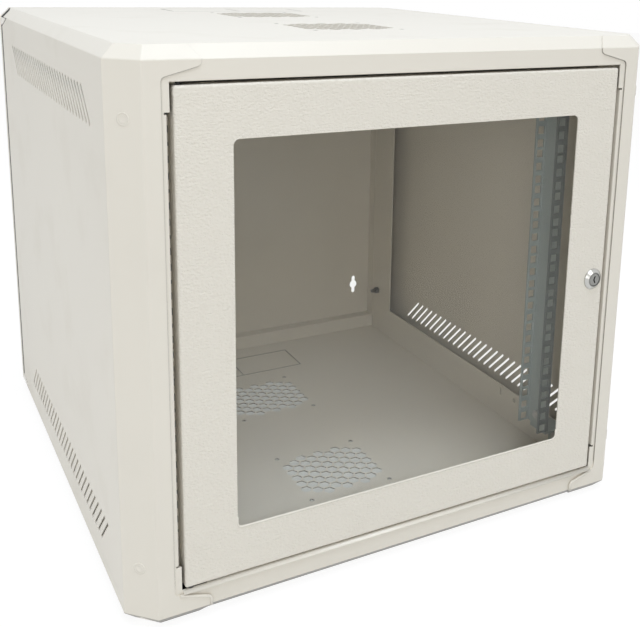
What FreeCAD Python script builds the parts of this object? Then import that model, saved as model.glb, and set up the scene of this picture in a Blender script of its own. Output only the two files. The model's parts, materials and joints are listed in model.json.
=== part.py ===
import FreeCAD, Part
import math
import os
import types
import Sketcher
from FreeCAD import Placement, Rotation, Vector

# A wall-mounted rack cabinet for 19 inch equipment, ten units high, in millimetres.
# X runs to the right, Y to the back and Z up; the origin is under the middle of the cabinet.

ROOT2 = math.sqrt(2.0)
ROOT3 = math.sqrt(3.0)

SIZES = (
    ("overall_width", 600, "over the two side panels"),
    ("overall_height", 550, "bottom face to top face"),
    ("body_depth", 594, "front face to the rear edge of the side panels"),
    ("sheet", 1.5, "folded steel of the body and the door"),
    ("corner_cut", 26, "bevel between side and front, seen from above"),
    ("edge_bevel", 12, "bevel round the top and the bottom"),
    ("bend_round", 2.5, "outer rounding where the body sheets are bent"),
    ("spare", 4, "how far a cutting shape runs past what it cuts"),
    ("seam_half", 258, "middle plane to the seam of the front flange"),
    ("tab_half", 222.5, "middle plane to the end of a corner tab"),
    ("tab_lean", 9, "how far the end of a tab leans out across the bevel"),
    ("tab_root_top", 27, "top face to the foot of an upper tab"),
    ("tab_end_top", 17.5, "top face to the end of an upper tab"),
    ("tab_root_low", 33, "bottom face to the foot of a lower tab"),
    ("tab_end_low", 22, "bottom face to the end of a lower tab"),
    ("seam_round", 5, "rounding along the seam"),
    ("notch_deep", 42, "cut at the rear corners of a side panel, along it"),
    ("notch_high", 12.5, "the same cut, up the rear edge"),
    ("slot_length", 47, "side louvre slot"),
    ("slot_wide", 3.4, "side louvre slot"),
    ("slot_pitch", 13.8, "from slot to slot"),
    ("slot_start", 95, "front face to the middle of the first slot"),
    ("slot_row", 60, "top or bottom face to the middle of a slot row"),
    ("slot_count", 30, "slots in a row"),
    ("ring_half", 268, "middle plane to the edge of the front frame"),
    ("flange_deep", 20, "flanges behind the front frame"),
    ("flange_round", 1.2, "outer rounding of their bends"),
    ("flange_step", 2.5, "how far the side flanges stand back from the corners"),
    ("flange_plain", 25.5, "unbent stretch of the frame at a corner"),
    ("flange_relief", 2, "bend relief beside a flange"),
    ("strip_half", 205, "half length of the top and bottom flanges"),
    ("door_width", 495.3, "door leaf"),
    ("door_height", 478.5, "door leaf"),
    ("door_low", 37.5, "bottom face to the lower edge of the door"),
    ("door_deep", 18, "folded edge of the door"),
    ("door_round", 2.4, "outer rounding of the folds"),
    ("gap_top", 3, "above the door"),
    ("gap_low", 2, "below the door"),
    ("gap_side", 2.85, "beside the door"),
    ("window_side", 52.7, "door edge to the window, left and right"),
    ("window_end", 49, "door edge to the window, top and bottom"),
    ("window_round", 6, "corners of the window"),
    ("tape_thick", 1, "foam tape under the glass"),
    ("tape_wide", 10, "foam tape under the glass"),
    ("glass_thick", 4, "tinted pane"),
    ("glass_lap", 14, "pane behind the edge of the window"),
    ("clip_sheet", 1.2, "pane retainers"),
    ("clip_gap", 0.5, "retainer to the edge of the pane"),
    ("clip_foot", 8, "foot of a retainer"),
    ("clip_grip", 9, "retainer over the pane"),
    ("clip_stud", 2, "radius of a retainer stud"),
    ("clip_nut", 7, "retainer nut across flats"),
    ("clip_nut_thick", 3, "retainer nut"),
    ("hinge_in", 6.15, "door edge to the hinge axis"),
    ("hinge_back", 6, "front face to the hinge axis"),
    ("pin_radius", 2.5, "hinge pin"),
    ("pin_reach", 12, "hinge pin inside the door"),
    ("run_fit", 0.05, "radial running clearance"),
    ("seat_fit", 0.02, "radial clearance of a fixed pin"),
    ("hinge_sheet", 2, "hinge brackets"),
    ("hinge_reach", 16, "hinge axis to either end of a bracket"),
    ("hinge_leg", 14, "leg of a bracket on the front frame"),
    ("hinge_lap", 7, "bracket behind the hinge axis"),
    ("washer_radius", 4.4, "hinge washer"),
    ("lock_in", 15.15, "door edge to the lock axis"),
    ("lock_out", 4, "lock rim in front of the door"),
    ("lock_rim", 12, "radius of the lock rim at its foot"),
    ("lock_rim_foot", 1, "straight foot of the lock rim"),
    ("lock_face", 8.2, "radius of the lock rim at its face"),
    ("lock_rim_round", 0.6, "rounding of the lock rim"),
    ("barrel_radius", 8.5, "lock barrel"),
    ("barrel_long", 20, "lock barrel behind the front face"),
    ("core_radius", 7.2, "turning core of the lock"),
    ("core_set", 0.4, "core face behind the rim face"),
    ("core_tail", 3.5, "half width of the square tail"),
    ("key_wide", 1.8, "keyway"),
    ("key_high", 8, "keyway"),
    ("key_bend", 1.8, "how far the middle of the keyway stands to the left of its ends"),
    ("key_deep", 6, "keyway"),
    ("lock_nut", 21, "lock nut across flats"),
    ("lock_nut_thick", 4, "lock nut"),
    ("cam_gap", 2, "barrel end to the cam"),
    ("cam_thick", 2.5, "lock cam"),
    ("cam_long", 30, "lock axis to the tip of the cam"),
    ("cam_wide", 14, "lock cam"),
    ("screw_radius", 2, "cam screw"),
    ("screw_head", 5, "radius of the cam screw's head"),
    ("screw_head_thick", 2.5, "cam screw's head"),
    ("screw_long", 9, "cam screw in the core"),
    ("rack_unit", 44.45, "height of one unit"),
    ("rack_clear", 450, "clear width between the rails"),
    ("rack_holes", 465.1, "between the hole rows of the two rails"),
    ("square_hole", 9.5, "cage nut hole"),
    ("hole_pitch", 15.875, "between the three holes of a unit"),
    ("rail_flange", 16.5, "rail seen from the front"),
    ("rail_deep", 40, "rail from front to back"),
    ("rail_sheet", 2, "rail"),
    ("rail_back", 70, "front face to the front of the rail"),
    ("lip_half", 275, "middle plane to the inner face of a side frame"),
    ("lip_high", 46, "upper and lower member of a side frame"),
    ("lip_rear", 60, "rear member of a side frame"),
    ("lip_front", 30, "front face to the front end of a side frame"),
    ("lip_foot", 8, "side frame on the top and bottom panels"),
    ("lip_hole_back", 183, "front face to the spare hole in a side frame"),
    ("lip_hole_up", 36, "panel face to the spare hole"),
    ("lip_hole_step", 32, "from the spare hole to the spare slot"),
    ("lip_slot_high", 10, "spare slot"),
    ("bracket_sheet", 2, "rail brackets"),
    ("bracket_wide", 30, "rail bracket from front to back"),
    ("bracket_low", 12, "panel face to the end of a rail bracket"),
    ("bracket_bolt", 28, "panel face to the bolt that holds a rail bracket"),
    ("bracket_shelf", 46, "panel face to the upper face of the shelf"),
    ("bracket_rise", 30, "rail bracket leg on the rail"),
    ("rail_stand", 5.25, "shelf of a bracket to the end of the rail"),
    ("bolt_radius", 3, "M6 bolt"),
    ("bolt_play", 0.2, "radial play of a bolt in its hole"),
    ("bolt_head", 10, "bolt and nut across flats"),
    ("bolt_head_thick", 4, "bolt head"),
    ("bolt_nut_thick", 5, "nut"),
    ("bolt_tip", 2, "bolt past its nut"),
    ("fan_pitch", 105, "fan screw square"),
    ("fan_screw", 2.25, "radius of a fan screw hole"),
    ("fan_back", 190, "front face to the middle of the first fan"),
    ("fan_step", 221, "from fan to fan"),
    ("mesh_flat", 12.2, "hexagon across flats"),
    ("mesh_pitch", 14, "from hexagon to hexagon"),
    ("knock_half", 95, "half length of the cable entry"),
    ("knock_back", 497, "front face to the cable entry"),
    ("knock_deep", 62, "cable entry from front to back"),
    ("knock_slit", 1.4, "cut line round the cable entry"),
    ("knock_tab", 4, "uncut tabs at its corners"),
    ("rear_flange", 22, "rear flange of the top and bottom panels"),
    ("rear_play", 0.5, "that flange to a side frame"),
    ("gasket_thick", 10, "rear sealing strip"),
    ("gasket_wide", 16, "rear sealing strip along the sides"),
    ("gasket_end", 20, "rear sealing strip along the top and the bottom"),
    ("gasket_in", 0.5, "rim of the back panel to the sealing strip"),
    ("back_deep", 9, "back panel with its rim"),
    ("back_in", 0.5, "top or bottom face to the rim of the back panel"),
    ("key_half", 246, "middle plane to the wall keyholes"),
    ("key_end", 75.5, "top or bottom face to the wall keyholes"),
    ("key_head", 6.75, "radius of a keyhole's middle"),
    ("key_slot", 3.25, "half width of a keyhole's slot"),
    ("key_long", 30, "keyhole end to end"),
    ("back_bolt_half", 289, "middle plane to the back panel bolts"),
    ("back_bolt_end", 70, "top or bottom face to the outer bolts"),
    ("earth_back", 19, "rear edge to the earth stud"),
    ("earth_up", 72, "bottom face to the earth stud"),
    ("earth_long", 14, "earth stud"),
)

doc = FreeCAD.newDocument("rack_cabinet")
sheet = doc.addObject("Spreadsheet::Sheet", "sizes")


class Size:
    """A length from the sheet, or a sum of such lengths: its value and its expression."""

    def __init__(self, value, text):
        self.value = float(value)
        self.text = text

    def __add__(self, other):
        other = as_size(other)
        return Size(self.value + other.value, f"({self.text} + {other.text})")

    def __sub__(self, other):
        other = as_size(other)
        return Size(self.value - other.value, f"({self.text} - {other.text})")

    def __mul__(self, factor):
        factor = as_size(factor)
        return Size(self.value * factor.value, f"({self.text} * {factor.text})")

    def __truediv__(self, divisor):
        return Size(self.value / divisor, f"({self.text} / {float(divisor)!r})")

    def __neg__(self):
        return Size(-self.value, f"(0 - {self.text})")

    def whole_steps(self, step):
        """How many whole steps fit in this length, with a hundredth of a step to spare."""
        count = math.floor(self.value / step.value + 0.01)
        return Size(count, f"floor({self.text} / {step.text} + 0.01)")


def as_size(length):
    if isinstance(length, Size):
        return length
    return Size(length, f"({float(length)!r})")


def fill_sheet():
    named = types.SimpleNamespace()
    for row, (name, value, meaning) in enumerate(SIZES, start=1):
        sheet.set(f"A{row}", name.replace("_", " "))
        sheet.set(f"B{row}", str(value))
        sheet.setAlias(f"B{row}", name)
        sheet.set(f"C{row}", meaning)
        setattr(named, name, Size(value, f"sizes.{name}"))
    doc.recompute()
    return named


s = fill_sheet()
zero = as_size(0)


def new_body(label):
    body = doc.addObject("PartDesign::Body", label)
    body.Label = label
    return body


def sketch_at(body, axes, level):
    """An empty sketch parallel to a plane of the body, at a level along that plane's world axis."""
    sketch = body.newObject("Sketcher::SketchObject", f"{body.Name}_sketch")
    plane = [item for item in body.Origin.OriginFeatures if item.Name.startswith(f"{axes}_Plane")]
    sketch.AttachmentSupport = [(plane[0], "")]
    sketch.MapMode = "FlatFace"
    offset = -level if axes == "XZ" else level
    sketch.setExpression("AttachmentOffset.Base.z", offset.text)
    return sketch


def tie(sketch, geometry, point, across, up):
    """Hold one point of a sketch at two lengths from the sketch origin."""
    for kind, axis, length in (("DistanceX", -2, across), ("DistanceY", -1, up)):
        if abs(length.value) < 1e-9:
            sketch.addConstraint(Sketcher.Constraint("PointOnObject", geometry, point, axis))
        else:
            rule = Sketcher.Constraint(kind, -1, 1, geometry, point, length.value)
            index = sketch.addConstraint(rule)
            sketch.setExpression(f"Constraints[{index}]", length.text)


def outline(sketch, corners):
    """A closed outline of straight edges through corners that follow the sheet."""
    corners = [(as_size(across), as_size(up)) for across, up in corners]
    points = [Vector(across.value, up.value, 0) for across, up in corners]
    count = len(points)
    first = sketch.GeometryCount
    edges = [Part.LineSegment(points[i], points[(i + 1) % count]) for i in range(count)]
    sketch.addGeometry(edges, False)
    joins = []
    for i in range(count):
        joins.append(Sketcher.Constraint("Coincident", first + i, 2, first + (i + 1) % count, 1))
    sketch.addConstraint(joins)
    for i, (across, up) in enumerate(corners):
        tie(sketch, first + i, 1, across, up)
    return sketch


def circle(sketch, across, up, radius):
    centre = Vector(across.value, up.value, 0)
    index = sketch.addGeometry(Part.Circle(centre, Vector(0, 0, 1), radius.value), False)
    tie(sketch, index, 3, across, up)
    rule = sketch.addConstraint(Sketcher.Constraint("Radius", index, radius.value))
    sketch.setExpression(f"Constraints[{rule}]", radius.text)
    return sketch


def rectangle(left, right, low, high):
    return [(left, low), (right, low), (right, high), (left, high)]


def hexagon(across, up, flats):
    """A hexagon with points to its left and right."""
    reach = flats / ROOT3
    half = flats / 2
    return [
        (across + reach, up),
        (across + reach / 2, up + half),
        (across - reach / 2, up + half),
        (across - reach, up),
        (across - reach / 2, up - half),
        (across + reach / 2, up - half),
    ]


def finish(body, kind, sketch, length):
    feature = body.newObject(f"PartDesign::{kind}", f"{sketch.Name}_{kind.lower()}")
    feature.Profile = sketch
    feature.setExpression("Length", length.text)
    feature.Refine = False
    body.Tip = feature
    return feature


def slab(body, axes, corners, start, end):
    """Material with a flat outline, between two levels of the third axis."""
    start, end = as_size(start), as_size(end)
    sketch = sketch_at(body, axes, end if axes == "XZ" else start)
    outline(sketch, corners)
    return finish(body, "Pad", sketch, end - start)


def recess(body, axes, outlines, start, end):
    """A cut with one or more flat outlines, between two levels of the third axis."""
    start, end = as_size(start), as_size(end)
    sketch = sketch_at(body, axes, start if axes == "XZ" else end)
    for corners in outlines:
        outline(sketch, corners)
    return finish(body, "Pocket", sketch, end - start)


def bore(body, axes, centres, radius, start, end):
    start, end = as_size(start), as_size(end)
    sketch = sketch_at(body, axes, start if axes == "XZ" else end)
    for across, up in centres:
        circle(sketch, as_size(across), as_size(up), radius)
    return finish(body, "Pocket", sketch, end - start)


def rod(body, axes, across, up, radius, start, end):
    start, end = as_size(start), as_size(end)
    sketch = sketch_at(body, axes, end if axes == "XZ" else start)
    circle(sketch, as_size(across), as_size(up), radius)
    return finish(body, "Pad", sketch, end - start)


def repeat(body, feature, steps):
    """Repeat a cut along the axes of its own sketch: (axis, whole length, count) for each."""
    sketch = feature.Profile[0]
    many = body.newObject("PartDesign::MultiTransform", f"{feature.Name}_many")
    many.Originals = [feature]
    runs = []
    for axis, length, count in steps:
        run = doc.addObject("PartDesign::LinearPattern", f"{feature.Name}_run")
        run.Direction = (sketch, [axis])
        run.setExpression("Length", length.text)
        if isinstance(count, Size):
            run.setExpression("Occurrences", count.text)
        else:
            run.Occurrences = count
        runs.append(run)
    many.Transformations = runs
    many.Refine = False
    body.Tip = many
    return many


def turn(body, corners):
    """A solid of revolution about the body's own Z axis, from (radius, height) corners."""
    sketch = sketch_at(body, "XZ", zero)
    outline(sketch, corners)
    feature = body.newObject("PartDesign::Revolution", f"{sketch.Name}_turn")
    feature.Profile = sketch
    feature.ReferenceAxis = (sketch, ["V_Axis"])
    feature.Angle = 360
    body.Tip = feature
    return feature


def edge_names(feature, wanted):
    doc.recompute()
    return [f"Edge{i}" for i, edge in enumerate(feature.Shape.Edges, start=1) if wanted(edge)]


def ease(body, kind, edges, length):
    """Fillet or chamfer the named edges of the body's last feature."""
    last = body.Tip
    feature = body.newObject(f"PartDesign::{kind}", f"{body.Name}_{kind.lower()}")
    feature.Base = (last, edges)
    feature.setExpression("Radius" if kind == "Fillet" else "Size", length.text)
    body.Tip = feature
    return feature


def shell(body, thickness, open_face):
    """Hollow the body's last feature, leaving one face open."""
    doc.recompute()
    last = body.Tip
    faces = enumerate(last.Shape.Faces, start=1)
    names = [f"Face{i}" for i, face in faces if open_face(face)]
    feature = body.newObject("PartDesign::Thickness", f"{body.Name}_thickness")
    feature.Base = (last, names)
    feature.setExpression("Value", thickness.text)
    feature.Join = 1
    feature.Reversed = True
    body.Tip = feature
    return feature


def combine(kind, label, first, second):
    joined = doc.addObject(f"Part::{kind}", label)
    joined.Label = label
    joined.Base = first
    joined.Tool = second
    return joined


def carry_on(label, base):
    """A body that goes on from a finished shape."""
    body = new_body(label)
    body.BaseFeature = base
    doc.recompute()
    return body


def mirror(label, source, axis, level):
    copy = doc.addObject("Part::Mirroring", label)
    copy.Label = label
    copy.Source = source
    copy.Normal = Vector(axis == "x", axis == "y", axis == "z")
    copy.setExpression(f"Base.{axis}", level.text)
    return copy


def group(label, members):
    bundle = doc.addObject("Part::Compound", label)
    bundle.Label = label
    bundle.Links = members
    return bundle


def put(body, across, along, up, turned):
    """Place a body that was modelled about its own Z axis."""
    body.Placement = Placement(Vector(across.value, along.value, up.value), turned)
    body.setExpression("Placement.Base.x", across.text)
    body.setExpression("Placement.Base.y", along.text)
    body.setExpression("Placement.Base.z", up.text)


BACKWARD = Rotation(Vector(1, 0, 0), -90)
RIGHTWARD = Rotation(Vector(0, 1, 0), 90)

half_width = s.overall_width / 2
mid_height = s.overall_height / 2
whole_depth = s.lock_out + s.body_depth + s.gasket_thick + s.back_deep
front = s.lock_out - whole_depth / 2
rear = front + s.body_depth
top = s.overall_height


def behind(length):
    return front + length


# The body is two layers of sheet. The outer one is the side panels, which wrap round the
# bevelled corners; the inner one is the top, the bottom and the front frame.

inner_cut = s.corner_cut - s.sheet * (2 - ROOT2)
inner_bevel = s.edge_bevel + s.sheet * (ROOT2 - 1)


def envelope(label, inset, cut, bevel, low, high, end):
    """The bevelled block that bounds one layer of sheet."""
    body = new_body(label)
    side = half_width - inset
    face = front + inset
    corners = [
        (-side, end),
        (-side, face + cut),
        (-side + cut, face),
        (side - cut, face),
        (side, face + cut),
        (side, end),
    ]
    block = slab(body, "XY", corners, low, high)

    def rim(edge):
        box = edge.BoundBox
        return box.ZLength < 1e-6 and box.YMin < end.value - 1e-3

    ease(body, "Chamfer", edge_names(block, rim), bevel)
    return body


def round_bends(body):
    """Round every edge of a bevelled block that isn't on its rear face."""
    bends = edge_names(body.Tip, lambda edge: edge.BoundBox.YMin < rear.value - 1e-3)
    ease(body, "Fillet", bends, s.bend_round)


outer_block = envelope("outer_block", zero, s.corner_cut, s.edge_bevel, zero, top, rear)
round_bends(outer_block)
outer_core = envelope(
    "outer_core", s.sheet, inner_cut, inner_bevel + s.spare, -s.spare, top + s.spare, rear + s.spare
)
outer_skin = combine("Cut", "outer_skin", outer_block, outer_core)

inner_block = envelope("inner_block", s.sheet, inner_cut, inner_bevel, zero, top, rear)
round_bends(inner_block)
inner_core = envelope(
    "inner_core",
    s.sheet * 2,
    inner_cut - s.sheet * (2 - ROOT2),
    inner_bevel - s.sheet * (2 - ROOT2),
    s.sheet,
    top - s.sheet,
    rear + s.spare,
)
inner_skin = combine("Cut", "inner_skin", inner_block, inner_core)


def side_panel():
    """Side sheet: wall, bevels, front flange with curved tabs, rear notches and two slot rows."""
    region = new_body("side_region")
    seam = -s.seam_half
    tab = -s.tab_half
    leant = tab - s.tab_lean
    edge = -half_width - s.spare
    corners = [
        (edge, -s.spare),
        (leant, -s.spare),
        (leant, zero),
        (tab, s.edge_bevel),
        (tab, s.tab_end_low),
        (seam, s.tab_root_low),
        (seam, top - s.tab_root_top),
        (tab, top - s.tab_end_top),
        (tab, top - s.edge_bevel),
        (leant, top),
        (leant, top + s.spare),
        (edge, top + s.spare),
    ]
    block = slab(region, "XZ", corners, front - s.spare, rear + s.spare)
    bends = [(across.value, up.value) for across, up in corners[4:8]]

    def bend(edge):
        box = edge.BoundBox
        here = any(math.hypot(box.XMin - x, box.ZMin - z) < 1e-3 for x, z in bends)
        return here and box.XLength < 1e-6 and box.ZLength < 1e-6

    ease(region, "Fillet", edge_names(block, bend), s.seam_round)
    blank = combine("Common", "side_blank", outer_skin, region)
    body = carry_on("left_side_panel", blank)

    outside = -half_width - s.spare
    inside = -half_width + s.edge_bevel + s.spare
    notch = [
        (rear + s.spare, top - s.edge_bevel - s.notch_high),
        (rear, top - s.edge_bevel - s.notch_high),
        (rear - s.notch_deep, top - s.edge_bevel),
        (rear, top),
        (rear + s.spare, top),
    ]
    low_notch = [(along, top - up) for along, up in notch]
    recess(body, "YZ", [notch, low_notch], outside, inside)

    long_half = s.slot_length * (0.5 / ROOT2)
    wide_half = s.slot_wide * (0.5 / ROOT2)
    along = behind(s.slot_start)
    for level, lean in ((s.slot_row, -1), (top - s.slot_row, 1)):
        corners = [
            (along + (long_half - wide_half) * lean, level + long_half + wide_half),
            (along - (long_half + wide_half) * lean, level - long_half + wide_half),
            (along - (long_half - wide_half) * lean, level - long_half - wide_half),
            (along + (long_half + wide_half) * lean, level + long_half - wide_half),
        ]
        slot = recess(body, "YZ", [corners], outside, -half_width + s.sheet + s.spare)
        repeat(body, slot, [("H_Axis", s.slot_pitch * (s.slot_count - 1), s.slot_count)])
    return body


left_side_panel = side_panel()
right_side_panel = mirror("right_side_panel", left_side_panel, "x", zero)


def top_panel():
    """Top sheet: bevelled edges, rear flange, two fan grilles and the cable entry."""
    region = new_body("top_region")
    reach = half_width + s.spare
    plan = rectangle(-reach, reach, front - s.spare, rear + s.spare)
    slab(region, "XY", plan, top - inner_bevel, top + s.spare)
    blank = combine("Common", "top_blank", inner_skin, region)
    body = carry_on("top_cover", blank)
    across = s.lip_half - s.rear_play
    flange = rectangle(-across, across, top - s.rear_flange, top - s.sheet)
    slab(body, "XZ", flange, rear - s.sheet, rear)

    low = top - s.sheet - s.spare
    high = top + s.spare
    start = behind(s.knock_back)
    end = start + s.knock_deep
    slit = s.knock_slit / 2
    cuts = []
    for near, far in ((-s.knock_half, zero), (zero, s.knock_half)):
        for line in (start, end):
            cuts.append(rectangle(near + s.knock_tab, far - s.knock_tab, line - slit, line + slit))
    for line in (-s.knock_half, zero, s.knock_half):
        cuts.append(rectangle(line - slit, line + slit, start + s.knock_tab, end - s.knock_tab))
    recess(body, "XY", cuts, low, high)

    half = s.fan_pitch / 2
    first = behind(s.fan_back)
    fans = ("V_Axis", s.fan_step, 2)
    screw = bore(body, "XY", [(-half, first - half)], s.fan_screw, low, high)
    repeat(body, screw, [("H_Axis", s.fan_pitch, 2), ("V_Axis", s.fan_pitch, 2), fans])

    column = s.mesh_pitch * (ROOT3 / 2)
    for cells, columns, stride in ((7, 3, 2), (6, 4, 2), (5, 2, 8)):
        length = s.mesh_pitch * (cells - 1)
        width = column * (stride * (columns - 1))
        corners = hexagon(-width / 2, first - length / 2, s.mesh_flat)
        cell = recess(body, "XY", [corners], low, high)
        repeat(body, cell, [("V_Axis", length, cells), ("H_Axis", width, columns), fans])
    return body


top_cover = top_panel()
bottom_panel = mirror("bottom_panel", top_cover, "z", mid_height)

door_half = s.door_width / 2
door_high = s.door_low + s.door_height
open_low = s.door_low - s.gap_low
open_high = door_high + s.gap_top
open_half = door_half + s.gap_side
flange_face = open_half + s.flange_step


def front_ring():
    """Front frame: a flat ring whose edges are folded back between the hinge corners."""
    body = new_body("front_frame")
    face = behind(s.sheet)
    back = face + s.sheet
    outer = rectangle(-s.ring_half, s.ring_half, inner_bevel, top - inner_bevel)
    slab(body, "XZ", outer, face, back)
    step_low = open_low + s.flange_plain
    step_high = open_high - s.flange_plain
    relief = flange_face + s.sheet + s.flange_relief / 2
    right = [
        (open_half, open_low),
        (open_half, step_low),
        (relief, step_low),
        (relief, step_low + s.flange_relief),
        (flange_face, step_low + s.flange_relief),
        (flange_face, step_high - s.flange_relief),
        (relief, step_high - s.flange_relief),
        (relief, step_high),
        (open_half, step_high),
        (open_half, open_high),
    ]
    left = [(-across, up) for across, up in reversed(right)]
    recess(body, "XZ", [right + left], face - s.spare, back + s.spare)
    fold_end = face + s.flange_deep
    low = step_low + s.flange_relief
    high = step_high - s.flange_relief
    for start, end in ((flange_face, flange_face + s.sheet), (-flange_face - s.sheet, -flange_face)):
        slab(body, "XY", rectangle(start, end, face, fold_end), low, high)
    for start, end in ((open_high, open_high + s.sheet), (open_low - s.sheet, open_low)):
        slab(body, "XY", rectangle(-s.strip_half, s.strip_half, face, fold_end), start, end)

    def fold(edge):
        box = edge.BoundBox
        level = min(abs(box.ZMin - open_low.value), abs(box.ZMin - open_high.value)) < 1e-3
        upright = abs(max(-box.XMin, box.XMax) - flange_face.value) < 1e-3
        along = (level and box.ZLength < 1e-6) or (upright and box.XLength < 1e-6)
        return along and box.YMax < face.value + 1e-3

    ease(body, "Fillet", edge_names(body.Tip, fold), s.flange_round)
    return body


front_frame = front_ring()


def side_frame():
    """Inner side frame: lower, rear and upper lips folded from one sheet, with feet and a rear flange."""
    body = new_body("side_frame_right")
    low = s.sheet
    high = top - s.sheet
    near = behind(s.lip_front)
    lip = [
        (near, low),
        (rear, low),
        (rear, high),
        (near, high),
        (near, high - s.lip_high),
        (rear - s.lip_rear, high - s.lip_high),
        (rear - s.lip_rear, low + s.lip_high),
        (near, low + s.lip_high),
    ]
    face = s.lip_half
    slab(body, "YZ", lip, face, face + s.sheet)
    foot = rectangle(face, face + s.lip_foot, near, rear - s.sheet)
    slab(body, "XY", foot, low, low + s.sheet)
    slab(body, "XY", foot, high - s.sheet, high)
    flange = rectangle(face, half_width - s.sheet, s.rear_flange, top - s.rear_flange)
    slab(body, "XZ", flange, rear - s.sheet, rear)
    hole = s.bolt_radius + s.bolt_play
    start = face - s.spare
    end = face + s.sheet + s.spare
    centres = []
    for level in (bracket_bolt_up, top - bracket_bolt_up):
        centres.append((rail_mid, level))
    for level in (low + s.lip_hole_up, high - s.lip_hole_up):
        centres.append((behind(s.lip_hole_back), level))
    bore(body, "YZ", centres, hole, start, end)
    slot = behind(s.lip_hole_back + s.lip_hole_step)
    slot_half = s.slot_wide / 2
    rise = s.lip_slot_high / 2
    slots = []
    for level in (low + s.lip_hole_up, high - s.lip_hole_up):
        slots.append(rectangle(slot - slot_half, slot + slot_half, level - rise, level + rise))
    recess(body, "YZ", slots, start, end)
    bore(body, "XZ", back_bolts, hole, rear - s.sheet - s.spare, rear + s.spare)
    bore(body, "YZ", [(rear - s.earth_back, s.earth_up)], hole, start, end)
    return body


rail_mid = behind(s.rail_back + s.rail_deep / 2)
shelf_up = s.sheet + s.bracket_shelf
rail_low = shelf_up + s.rail_stand
rail_high = top - rail_low
rack_units = (rail_high - rail_low).whole_steps(s.rack_unit)
rail_side = s.rack_clear / 2 + s.rail_flange
bracket_bolt_up = s.sheet + s.bracket_bolt
rail_bolt_up = shelf_up + s.bracket_rise * (2 / 3)
back_bolts = [
    (s.back_bolt_half, s.back_bolt_end),
    (s.back_bolt_half, mid_height),
    (s.back_bolt_half, top - s.back_bolt_end),
]
side_frame_right = side_frame()
side_frame_left = mirror("side_frame_left", side_frame_right, "x", zero)


def rack_rail():
    """Rack rail: a channel with cage nut holes in both flanges."""
    body = new_body("rail_right")
    inner = s.rack_clear / 2
    near = behind(s.rail_back)
    far = near + s.rail_deep
    web = rail_side - s.rail_sheet
    profile = [
        (inner, near),
        (rail_side, near),
        (rail_side, far),
        (inner, far),
        (inner, far - s.rail_sheet),
        (web, far - s.rail_sheet),
        (web, near + s.rail_sheet),
        (inner, near + s.rail_sheet),
    ]
    slab(body, "XY", profile, rail_low, rail_high)
    half = s.square_hole / 2
    middle = s.rack_holes / 2
    first = mid_height - s.rack_unit * (rack_units - 1) / 2 - s.hole_pitch
    hole = rectangle(middle - half, middle + half, first - half, first + half)
    cell = recess(body, "XZ", [hole], near - s.spare, far + s.spare)
    unit = ("V_Axis", s.hole_pitch * 2, 3)
    rail = ("V_Axis", s.rack_unit * (rack_units - 1), rack_units)
    repeat(body, cell, [unit, rail])
    centres = [(rail_mid, rail_bolt_up), (rail_mid, top - rail_bolt_up)]
    bore(body, "YZ", centres, s.bolt_radius + s.bolt_play, web - s.spare, rail_side + s.spare)
    return body


rail_right = rack_rail()
rail_left = mirror("rail_left", rail_right, "x", zero)


def rail_bracket():
    """Stepped bracket between a side frame and the foot of a rail."""
    body = new_body("rail_bracket_right_lower")
    thick = s.bracket_sheet
    foot = s.sheet + s.bracket_low
    profile = [
        (s.lip_half - thick, foot),
        (s.lip_half, foot),
        (s.lip_half, shelf_up),
        (rail_side + thick, shelf_up),
        (rail_side + thick, shelf_up + s.bracket_rise),
        (rail_side, shelf_up + s.bracket_rise),
        (rail_side, shelf_up - thick),
        (s.lip_half - thick, shelf_up - thick),
    ]
    half = s.bracket_wide / 2
    slab(body, "XZ", profile, rail_mid - half, rail_mid + half)
    hole = s.bolt_radius + s.bolt_play
    bore(body, "YZ", [(rail_mid, rail_bolt_up)], hole, rail_side - s.spare, rail_side + thick + s.spare)
    bore(body, "YZ", [(rail_mid, bracket_bolt_up)], hole, s.lip_half - thick - s.spare, s.lip_half + s.spare)
    return body


rail_bracket_right_lower = rail_bracket()
rail_bracket_right_upper = mirror("rail_bracket_right_upper", rail_bracket_right_lower, "z", mid_height)
rail_bracket_left_lower = mirror("rail_bracket_left_lower", rail_bracket_right_lower, "x", zero)
rail_bracket_left_upper = mirror("rail_bracket_left_upper", rail_bracket_right_upper, "x", zero)


def bolt(label, grip):
    """Hexagon bolt along its own Z axis: the head is below zero and the shank passes a nut."""
    body = new_body(label)
    slab(body, "XY", hexagon(zero, zero, s.bolt_head), -s.bolt_head_thick, zero)
    rod(body, "XY", zero, zero, s.bolt_radius, zero, grip + s.bolt_nut_thick + s.bolt_tip)
    return body


def nut(label, start):
    body = new_body(label)
    end = start + s.bolt_nut_thick
    slab(body, "XY", hexagon(zero, zero, s.bolt_head), start, end)
    bore(body, "XY", [(zero, zero)], s.bolt_radius + s.seat_fit, start - s.spare, end + s.spare)
    return body


def four_corners(label, piece, across, along, up):
    """The same fastener at the foot and the head of both rails."""
    put(piece, across, along, up, RIGHTWARD)
    upper = mirror(f"{label}_upper", piece, "z", mid_height)
    left = mirror(f"{label}_left", piece, "x", zero)
    left_upper = mirror(f"{label}_left_upper", upper, "x", zero)
    return group(label, [piece, upper, left, left_upper])


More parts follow.
